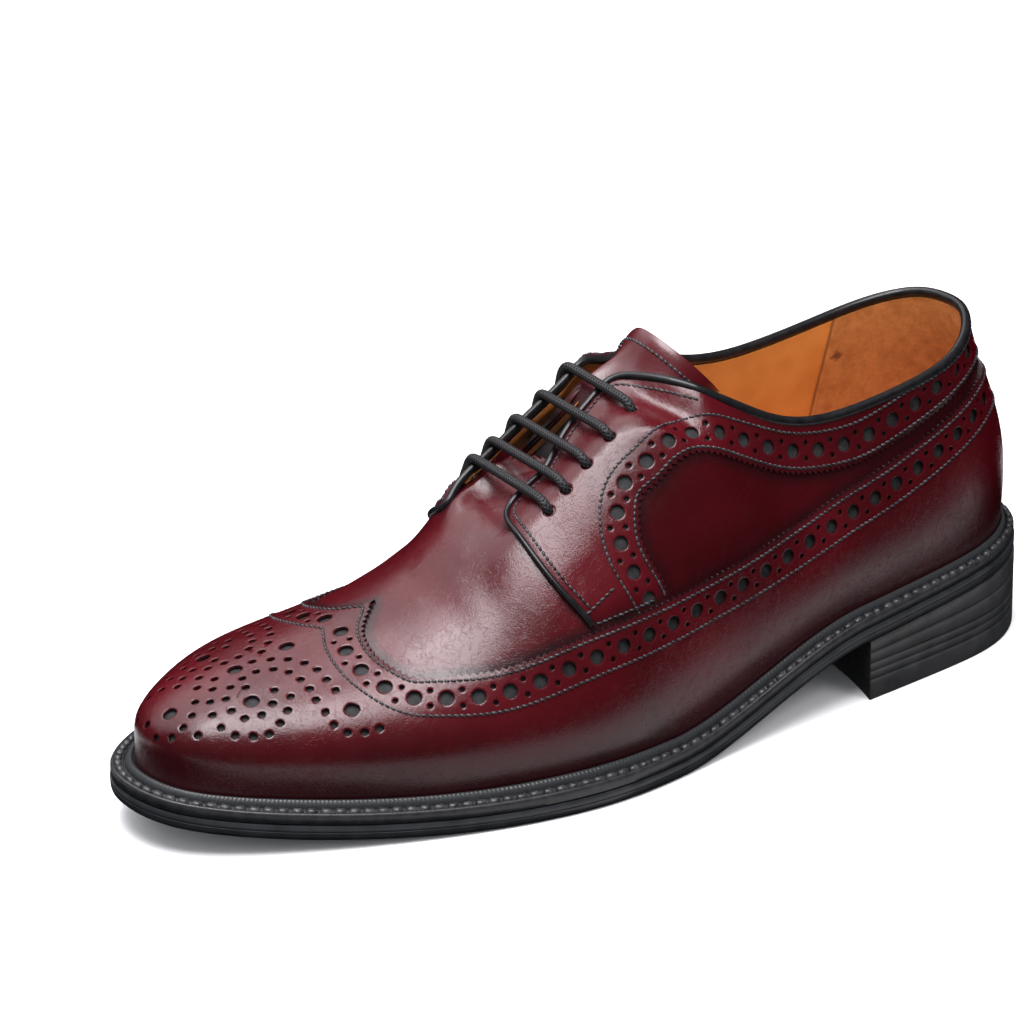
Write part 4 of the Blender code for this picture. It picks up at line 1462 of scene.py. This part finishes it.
def tongue_stitches():
    """Row round the tongue's free end."""
    a = np.linspace(-0.97, 0.97, 400)
    end = tongue_end(a)
    step = 0.05
    line, back = (tongue_point(end - d, a, WALL + TONGUE_CLEAR) for d in (0.045, 0.045 + step))
    line = even(line, STITCH_PITCH)
    back = even(back, lengths(back)[-1] / (len(line) - 1) * 0.99999)
    mid = (line[1:] + line[:-1]) / 2
    along = unit(np.diff(line, axis=0))
    out = unit(np.cross(along, (line - back)[1:]))
    out = out * np.sign(out[:, 2:])
    return mid, along, out


def build_stitches(mat):
    rows = []
    for side in SIDES:
        for d in STITCH_ROWS:
            rows.append((to_ridge(ridge_cut(inset(wing_line(side), d)), side), wing_level))
            rows.append((inset(band_line(side), d)[2:], band_level))
        rows.append((inset(facing_line(side)[9:], -2.0), band_level))
        rows.append((inset(between(top_line(side), 0.405, 0.60), -1.6), band_level))
        rows.append((inset(between(wing_line(side), 0.505, 0.572), -1.6), band_level))
        tack = np.stack([side_turn(np.linspace(0.580, 0.548, 12), side), np.linspace(47.5, 53.0, 12)], 1)
        rows.append((tack, band_level))
    parts = [stitch_row(line, level, STITCH_PITCH) for line, level in rows]
    parts.append(tongue_stitches())
    spots, along, out = (np.concatenate(p) for p in zip(*parts))
    along = unit(along + STITCH_TURN * np.cross(out, along))
    verts, faces = stitch_mesh(spots + out * 0.05, along, out, STITCH_LONG, STITCH_THICK, 0.25)
    piece("upper_stitches", verts, faces, mat, ["upper"], 80)


def build_welt_stitches(mat):
    w, c, dx, dy, r, _ = sole_ring(2400)
    line = on_sole(c, dx, dy, r - welt_width(w) * WELT_CHANNEL, WELT_STITCH_LEVEL)
    line = np.concatenate([line, line[:1]])
    count = int(lengths(line)[-1] / WELT_STITCH_PITCH)
    line = even(line, lengths(line)[-1] / count * 0.99999)
    mid = (line[1:] + line[:-1]) / 2
    along = unit(np.diff(line, axis=0))
    side = unit(np.cross(along, [0.0, 0.0, 1.0]))
    out = np.cross(side, along)
    verts, faces = stitch_mesh(mid, along, out, WELT_STITCH_LONG, WELT_STITCH_THICK, 0.3)
    piece("welt_stitches", verts, faces, mat, ["welt"], 80)


class Look:
    """A procedural material on the object's own coordinates, in mm."""

    def __init__(self, name, rough, coat=0.0, coat_rough=0.1, shine=0.5):
        self.mat = bpy.data.materials.new(name)
        self.mat.use_nodes = True
        self.nodes = self.mat.node_tree.nodes
        self.links = self.mat.node_tree.links
        self.shader = self.nodes["Principled BSDF"]
        self.shader.inputs["Roughness"].default_value = rough
        self.shader.inputs["Coat Weight"].default_value = coat
        self.shader.inputs["Coat Roughness"].default_value = coat_rough
        self.shader.inputs["Specular IOR Level"].default_value = shine
        self.place = self.add("ShaderNodeTexCoord").outputs["Object"]
        self.normal = None

    def add(self, kind, **values):
        node = self.nodes.new(kind)
        for key, value in values.items():
            setattr(node, key, value)
        return node

    def join(self, source, target):
        self.links.new(source, target)

    def at(self, stretch):
        if stretch is None:
            return self.place
        node = self.add("ShaderNodeMapping")
        node.inputs["Scale"].default_value = stretch
        self.join(self.place, node.inputs["Vector"])
        return node.outputs["Vector"]

    def noise(self, size, detail=3.0, rough=0.5, stretch=None, warp=0.0):
        """Noise with features of about the given size in mm."""
        node = self.add("ShaderNodeTexNoise")
        node.inputs["Scale"].default_value = 1 / (size * MM)
        node.inputs["Detail"].default_value = detail
        node.inputs["Roughness"].default_value = rough
        node.inputs["Distortion"].default_value = warp
        self.join(self.at(stretch), node.inputs["Vector"])
        return node.outputs["Fac"]

    def cells(self, size):
        """Distance from the middles of cells of about the given size in mm."""
        node = self.add("ShaderNodeTexVoronoi")
        node.inputs["Scale"].default_value = 1 / (size * MM)
        self.join(self.place, node.inputs["Vector"])
        return node.outputs["Distance"]

    def parts(self):
        node = self.add("ShaderNodeSeparateXYZ")
        self.join(self.place, node.inputs[0])
        return node.outputs

    def away(self, spot):
        """Distance from a spot in m."""
        node = self.add("ShaderNodeVectorMath", operation="DISTANCE")
        node.inputs[1].default_value = spot
        self.join(self.place, node.inputs[0])
        return node.outputs["Value"]

    def data(self, name):
        return self.add("ShaderNodeAttribute", attribute_name=name).outputs["Fac"]

    def tones(self, value, low, high, at=(0.3, 0.7)):
        """Two colours and what lies between them, at two values."""
        node = self.add("ShaderNodeValToRGB")
        for element, position, colour in zip(node.color_ramp.elements, at, (low, high)):
            element.position = position
            element.color = (*colour, 1.0)
        self.join(value, node.inputs["Fac"])
        return node.outputs["Color"]

    def scaled(self, value, low, high, to_low=0.0, to_high=1.0):
        node = self.add("ShaderNodeMapRange")
        for key, number in zip(("From Min", "From Max", "To Min", "To Max"), (low, high, to_low, to_high)):
            node.inputs[key].default_value = number
        self.join(value, node.inputs["Value"])
        return node.outputs["Result"]

    def math(self, how, a, b=0.0):
        node = self.add("ShaderNodeMath", operation=how)
        for value, socket in zip((a, b), node.inputs):
            if isinstance(value, (int, float)):
                socket.default_value = value
            else:
                self.join(value, socket)
        return node.outputs["Value"]

    def blend(self, share, a, b):
        """Colour a going to b."""
        node = self.add("ShaderNodeMix", data_type="RGBA")
        self.join(share, node.inputs["Factor"])
        for value, socket in zip((a, b), (node.inputs[6], node.inputs[7])):
            if isinstance(value, tuple):
                socket.default_value = (*value, 1.0)
            else:
                self.join(value, socket)
        return node.outputs[2]

    def off(self, value, middle):
        """How far a value is from a middle one."""
        return self.math("ABSOLUTE", self.math("SUBTRACT", value, middle))

    def stain_and_shade(self, base, colour, value, near, far, share):
        """The base with a share of a colour where a value is near, none where it is far."""
        return self.blend(self.scaled(value, near, far, share, 0.0), base, colour)

    def colour(self, value):
        self.join(value, self.shader.inputs["Base Color"])

    def roughness(self, value):
        self.join(value, self.shader.inputs["Roughness"])

    def bump(self, height, depth, strength=1.0):
        """Relief of the given depth in mm, over what is there already."""
        node = self.add("ShaderNodeBump")
        node.inputs["Distance"].default_value = depth * MM
        node.inputs["Strength"].default_value = strength
        self.join(height, node.inputs["Height"])
        if self.normal is not None:
            self.join(self.normal, node.inputs["Normal"])
        self.normal = node.outputs["Normal"]
        self.join(self.normal, self.shader.inputs["Normal"])
        self.join(self.normal, self.shader.inputs["Coat Normal"])


WINE = (0.070, 0.0022, 0.0054)
WINE_DEEP = (0.043, 0.0014, 0.0033)
# wine dark for the painted shade over the recessed quarters
WINE_SHADE = (0.018, 0.0006, 0.0012)
# near black for the dark finish, pores and scratch, and for painted shade beside overlying edges, low on the
# sides, on the lining and under the lace
BURNISH_AND_SHADE = (0.006, 0.0045, 0.005)
# cut wall of the gimped teeth: raw edge colour with a painted glint
RAW_EDGE_AND_GLINT = (0.12, 0.10, 0.10)

# marks, in m: a bent scratch by the toe ornament, the lining's slanted seam, and a spot on the lining
SCRATCH_MIDDLE = (-0.1176, -0.0084, 0.0406)
SCRATCH_CENTRE = (-0.1142, -0.0133, 0.0405)
SCRATCH_RADIUS = 0.0062
LINING_SEAM = 0.0892
LINING_SEAM_LEAN = 0.15
LINING_MARK = (0.106, 0.0279, 0.0842)

# braid of the lace: strands each way and length of a turn in mm; pitch of the ribs on the welt's bead
BRAID_STRANDS = 6
BRAID_PITCH = 1.1
WELT_RIB = 1.3


def calf(name, shade=0.0):
    """Burnished calf: slow changes of tone, fine grain, hairlines; dark beside the edges and low on the
    sides, part dark finish and part painted shade; painted shade over the recess; lighter cut walls of the
    gimped edges, part raw edge and part painted glint.
    """
    look = Look(name, 0.32, 0.58, 0.24, 0.22)
    cloud = look.noise(4.0)

    def ragged(key, more):
        return look.math("ADD", look.data(key), look.scaled(cloud, 0, 1, -more, more))

    base = look.tones(look.noise(34.0, 4.0), WINE_DEEP, WINE, (0.36, 0.64))
    # dark beside the edges of the pieces lying over this one: part dark finish, part painted shade
    gap = ragged("edge", 1.2)
    base = look.stain_and_shade(base, BURNISH_AND_SHADE, gap, 0.4, 3.6, 0.85)
    # painted shade over the recessed quarters, deepest beside the pieces lying over them
    if shade:
        base = look.blend(look.scaled(gap, 3.0, 26.0, shade, shade / 2), base, WINE_SHADE)
    base = look.stain_and_shade(base, BURNISH_AND_SHADE, ragged("trim", 0.6), 0.4, 2.4, 0.6)
    # darker towards the welt: part burnished finish, part painted shade low on the sides
    base = look.stain_and_shade(base, BURNISH_AND_SHADE, ragged("foot", 2.0), 1.0, 24.0, 0.62)
    scratch = look.off(look.away(SCRATCH_CENTRE), SCRATCH_RADIUS)
    ends = look.scaled(look.away(SCRATCH_MIDDLE), 0.0022, 0.0028, 0.0, 0.001)
    scratch = look.math("ADD", scratch, ends)
    base = look.stain_and_shade(base, BURNISH_AND_SHADE, scratch, 0.0001, 0.0003, 0.8)
    pores = look.cells(3.4)
    base = look.stain_and_shade(base, BURNISH_AND_SHADE, pores, 0.04, 0.07, 0.5)
    # walls of the gimped edges lighter, part raw edge and part painted glint; other walls dark
    cut = look.blend(look.scaled(look.data("trim"), 0.1, 0.4, 1.0, 0.0), BURNISH_AND_SHADE, RAW_EDGE_AND_GLINT)
    look.colour(look.blend(look.data("wall"), base, cut))
    look.roughness(look.scaled(look.noise(7.0, 5.0, 0.6), 0.3, 0.7, 0.25, 0.36))
    look.bump(look.noise(11.0, 3.0, 0.5), 0.25, 0.3)
    crack = look.off(look.noise(3.4, 4.0, 0.6, (1.0, 1.0, 0.7), 1.0), 0.5)
    look.bump(look.scaled(crack, 0.0, 0.03), 0.030, 0.5)
    look.bump(look.noise(0.9, 4.0, 0.65, (0.5, 1.0, 1.0), 0.6), 0.042, 0.5)
    look.bump(look.cells(0.6), 0.025, 0.5)
    look.bump(look.scaled(pores, 0.03, 0.08), 0.05, 0.6)
    look.bump(look.scaled(scratch, 0.0, 0.0004), 0.15, 0.6)
    hairline = look.off(look.noise(8.0, 2.0, 0.5, (0.35, 1.0, 1.0), 2.0), 0.5)
    look.bump(look.scaled(hairline, 0.0, 0.008), 0.016, 0.5)
    return look.mat


def cloth(name):
    look = Look(name, 0.75)
    look.colour(look.tones(look.noise(2.0), (0.008, 0.0075, 0.008), (0.024, 0.023, 0.024)))
    look.bump(look.noise(0.5), 0.1)
    return look.mat


def tan(name):
    """Lining calf: smooth ahead of a slanted seam, flesh side out behind it, with one dark mark and painted
    shadow inside the throat.
    """
    look = Look(name, 0.5, 0.05)
    x, _, z = look.parts()
    lean = look.math("MULTIPLY", z, LINING_SEAM_LEAN)
    behind = look.math("SUBTRACT", look.math("SUBTRACT", x, lean), LINING_SEAM)
    grain_side = look.tones(look.noise(14.0, 4.0), (0.56, 0.185, 0.036), (0.70, 0.265, 0.060))
    flesh_side = look.tones(look.noise(5.0, 6.0, 0.7), (0.36, 0.118, 0.025), (0.60, 0.225, 0.058))
    rear = look.scaled(behind, 0.0, 0.0004)
    base = look.blend(rear, grain_side, flesh_side)
    seam = look.math("ABSOLUTE", behind)
    base = look.stain_and_shade(base, (0.13, 0.04, 0.012), seam, 0.0002, 0.0007, 0.7)
    mark = look.math("ADD", look.away(LINING_MARK), look.scaled(look.noise(1.6), 0.3, 0.7, -0.0008, 0.0008))
    base = look.stain_and_shade(base, (0.10, 0.022, 0.008), mark, 0.0008, 0.0022, 0.8)
    # painted shadow inside the facings: dark from a few mm in from the throat's top line, fading further in
    gap = look.data("edge")
    shaded = look.math("MULTIPLY", look.scaled(gap, 2.2, 4.0), look.scaled(gap, 8.0, 16.0, 0.93, 0.0))
    look.colour(look.blend(shaded, base, BURNISH_AND_SHADE))
    look.roughness(look.scaled(rear, 0.0, 1.0, 0.42, 0.85))
    look.bump(look.scaled(seam, 0.0, 0.0012), 0.35, 0.6)
    look.bump(look.math("MULTIPLY", look.noise(0.8, 4.0), rear), 0.25, 0.5)
    look.bump(look.cells(0.9), 0.04, 0.3)
    return look.mat


def tongue_leather(name):
    """Calf with painted shade under the lace, glossy at the free end, with a tan lining."""
    look = Look(name, 0.36, 0.25, 0.34, 0.3)
    under = look.data("under")
    look.roughness(look.scaled(under, 0.0, 1.0, 0.32, 0.8))
    look.join(look.scaled(under, 0.0, 0.8, 0.9, 0.0), look.shader.inputs["Coat Weight"])
    outer = look.tones(look.noise(20.0), WINE_DEEP, WINE)
    # painted shade under the lace and facings
    outer = look.blend(look.scaled(under, 0.0, 1.0, 0.0, 0.95), outer, BURNISH_AND_SHADE)
    inner = look.tones(look.noise(14.0), (0.30, 0.12, 0.045), (0.42, 0.18, 0.07))
    look.colour(look.blend(look.data("inner"), outer, inner))
    look.bump(look.cells(0.8), 0.04, 0.5)
    return look.mat


def black_leather(name):
    look = Look(name, 0.36, 0.25, 0.12, 0.25)
    look.colour(look.tones(look.noise(3.0), (0.004, 0.004, 0.0045), (0.010, 0.010, 0.011)))
    look.bump(look.noise(0.7, 3.0), 0.06, 0.5)
    return look.mat


def thread(name):
    look = Look(name, 0.42, 0.1)
    look.colour(look.tones(look.noise(2.5), (0.010, 0.010, 0.011), (0.046, 0.047, 0.053), (0.35, 0.65)))
    look.bump(look.noise(0.35, 2.0), 0.08)
    return look.mat


def cord(name):
    """Round waxed braid: two sets of strands over each other."""
    look = Look(name, 0.5, 0.08, 0.3, 0.3)
    around = look.math("MULTIPLY", look.data("round"), 2 * math.pi * BRAID_STRANDS)
    strands = []
    for way in (1, -1):
        run = look.math("MULTIPLY", look.data("run"), way * 2 * math.pi / BRAID_PITCH)
        strands.append(look.math("SINE", look.math("ADD", around, run)))
    weave = look.math("MAXIMUM", *strands)
    # painted shade in the grooves between strands, painted light on their tops
    relief_shade = look.scaled(weave, -0.6, 1.0)
    look.colour(look.tones(relief_shade, (0.004, 0.004, 0.0045), (0.022, 0.022, 0.024), (0.0, 1.0)))
    look.bump(weave, 0.12, 0.8)
    return look.mat


def rubber(name, low, high):
    look = Look(name, 0.36, 0.05, 0.3)
    look.colour(look.tones(look.noise(7.0, 4.0), low, high))
    look.bump(look.noise(1.0, 4.0, 0.6, (0.07, 0.07, 2.2)), 0.022, 0.3)
    return look.mat


def welt_leather(name):
    """Dark strip with a ribbed bead, painted lighter as its sheen."""
    look = Look(name, 0.42, 0.12, 0.25)
    strip = look.tones(look.noise(3.0), (0.010, 0.0105, 0.011), (0.024, 0.0255, 0.0275))
    ribs = look.math("SINE", look.math("MULTIPLY", look.data("run"), 2 * math.pi / WELT_RIB))
    bead = look.scaled(look.data("across"), 15.0, 17.0)
    # the bead is painted lighter, as its sheen
    look.colour(look.blend(bead, strip, (0.028, 0.030, 0.032)))
    look.bump(look.math("MULTIPLY", ribs, bead), 0.10, 0.4)
    look.bump(look.noise(0.8, 3.0), 0.10, 0.6)
    return look.mat


FLOOR_HALF = 6.0


def build_floor():
    look = Look("floor", 0.55)
    look.colour(look.tones(look.noise(160.0, 2.0), (0.86, 0.86, 0.865), (0.90, 0.90, 0.905)))
    corners = [(x * FLOOR_HALF, y * FLOOR_HALF, 0) for x, y in ((-1, -1), (1, -1), (1, 1), (-1, 1))]
    mesh = bpy.data.meshes.new("floor")
    mesh.from_pydata(corners, [], [(0, 1, 2, 3)])
    mesh.materials.append(look.mat)
    floor = bpy.data.objects.new("floor", mesh)
    bpy.context.scene.collection.objects.link(floor)
    floor.visible_glossy = False
    floor.visible_diffuse = False


# place, aim, breadth, height in m and strength in W of each lamp
LAMPS = (
    ("overhead", (-0.26, -0.22, 1.25), (-0.02, 0.0, 0.05), 0.85, 0.70, 22.0),
    ("upper", (-0.26, 0.33, 1.23), (-0.02, 0.0, 0.05), 0.85, 0.40, 5.5),
    ("front", (0.45, -0.95, 1.15), (0.05, 0.0, 0.07), 0.5, 0.4, 5.0),
    ("back", (-0.25, 0.80, 0.95), (-0.05, 0.0, 0.06), 1.4, 0.8, 6.0),
    ("table_outer", (-0.03, -0.074, 0.001), (-0.03, -0.074, 1.0), 0.60, 0.036, 0.07),
    ("table_inner", (-0.03, 0.074, 0.001), (-0.03, 0.074, 1.0), 0.60, 0.036, 0.07),
)
LAMP_COLOUR = (1.0, 0.97, 1.0)
SKY_LOW = (0.05, 0.05, 0.055, 1.0)
SKY_HIGH = (0.95, 0.97, 1.0, 1.0)


def build_light():
    scene = bpy.context.scene
    for name, place, aim, breadth, height, watts in LAMPS:
        data = bpy.data.lights.new(name, "AREA")
        data.shape = "RECTANGLE"
        data.size = breadth
        data.size_y = height
        data.energy = watts
        data.color = LAMP_COLOUR
        lamp = bpy.data.objects.new(name, data)
        lamp.location = place
        lamp.visible_camera = False
        lamp.visible_glossy = name != "front"
        lamp.visible_diffuse = not name.startswith("table")
        lamp.rotation_euler = (Vector(aim) - Vector(place)).to_track_quat("-Z", "Y").to_euler()
        scene.collection.objects.link(lamp)
    world = bpy.data.worlds.new("studio")
    world.use_nodes = True
    nodes, links = world.node_tree.nodes, world.node_tree.links
    sky = nodes.new("ShaderNodeTexCoord").outputs["Generated"]
    height = nodes.new("ShaderNodeSeparateXYZ")
    ramp = nodes.new("ShaderNodeValToRGB")
    for element, position, colour in zip(ramp.color_ramp.elements, (0.0, 0.03), (SKY_LOW, SKY_HIGH)):
        element.position = position
        element.color = colour
    links.new(sky, height.inputs[0])
    links.new(height.outputs["Z"], ramp.inputs["Fac"])
    links.new(ramp.outputs["Color"], nodes["Background"].inputs["Color"])
    world.cycles_visibility.glossy = False
    scene.world = world
    scene.view_settings.view_transform = "Standard"


# the photo's view: bearing, height and roll in degrees, distance and aim in m, focal length in mm
VIEW_BEARING = -28.943
VIEW_HEIGHT = 22.938
VIEW_ROLL = -1.346
VIEW_DISTANCE = 1.1161
VIEW_AIM = (-0.02332, 0.0030, 0.06982)
VIEW_LENS = 135.25


def build_camera():
    a, e, roll = (math.radians(v) for v in (VIEW_BEARING, VIEW_HEIGHT, VIEW_ROLL))
    back = Vector((math.sin(a) * math.cos(e), -math.cos(a) * math.cos(e), math.sin(e)))
    right = Vector((math.cos(a), math.sin(a), 0.0))
    up = back.cross(right)
    x = right * math.cos(roll) + up * math.sin(roll)
    y = up * math.cos(roll) - right * math.sin(roll)
    data = bpy.data.cameras.new("camera")
    data.lens = VIEW_LENS
    data.sensor_width = 36.0
    camera = bpy.data.objects.new("camera", data)
    turned = Matrix((x, y, back)).transposed().to_4x4()
    camera.matrix_world = Matrix.Translation(Vector(VIEW_AIM) + back * VIEW_DISTANCE) @ turned
    bpy.context.scene.collection.objects.link(camera)
    bpy.context.scene.camera = camera


def main():
    leather = calf("calf")
    black = thread("thread")
    build_wing(leather)
    build_vamp(leather)
    # the recess's calf carries painted shade
    build_quarters(calf("calf_recess", 0.6))
    build_band(leather)
    build_backing(cloth("backing"))
    build_lining(tan("lining"))
    build_tongue(tongue_leather("tongue"))
    build_insole(tan("sock"))
    build_piping(black_leather("piping"))
    build_laces(cord("lace"))
    build_stitches(black)
    build_welt(welt_leather("welt"))
    build_welt_stitches(black)
    build_outsole(rubber("outsole", (0.014, 0.015, 0.0165), (0.027, 0.0295, 0.033)))
    build_heel(rubber("heel", (0.026, 0.0265, 0.027), (0.046, 0.047, 0.048)))
    build_floor()
    build_light()
    build_camera()
    bpy.context.view_layer.update()


main()
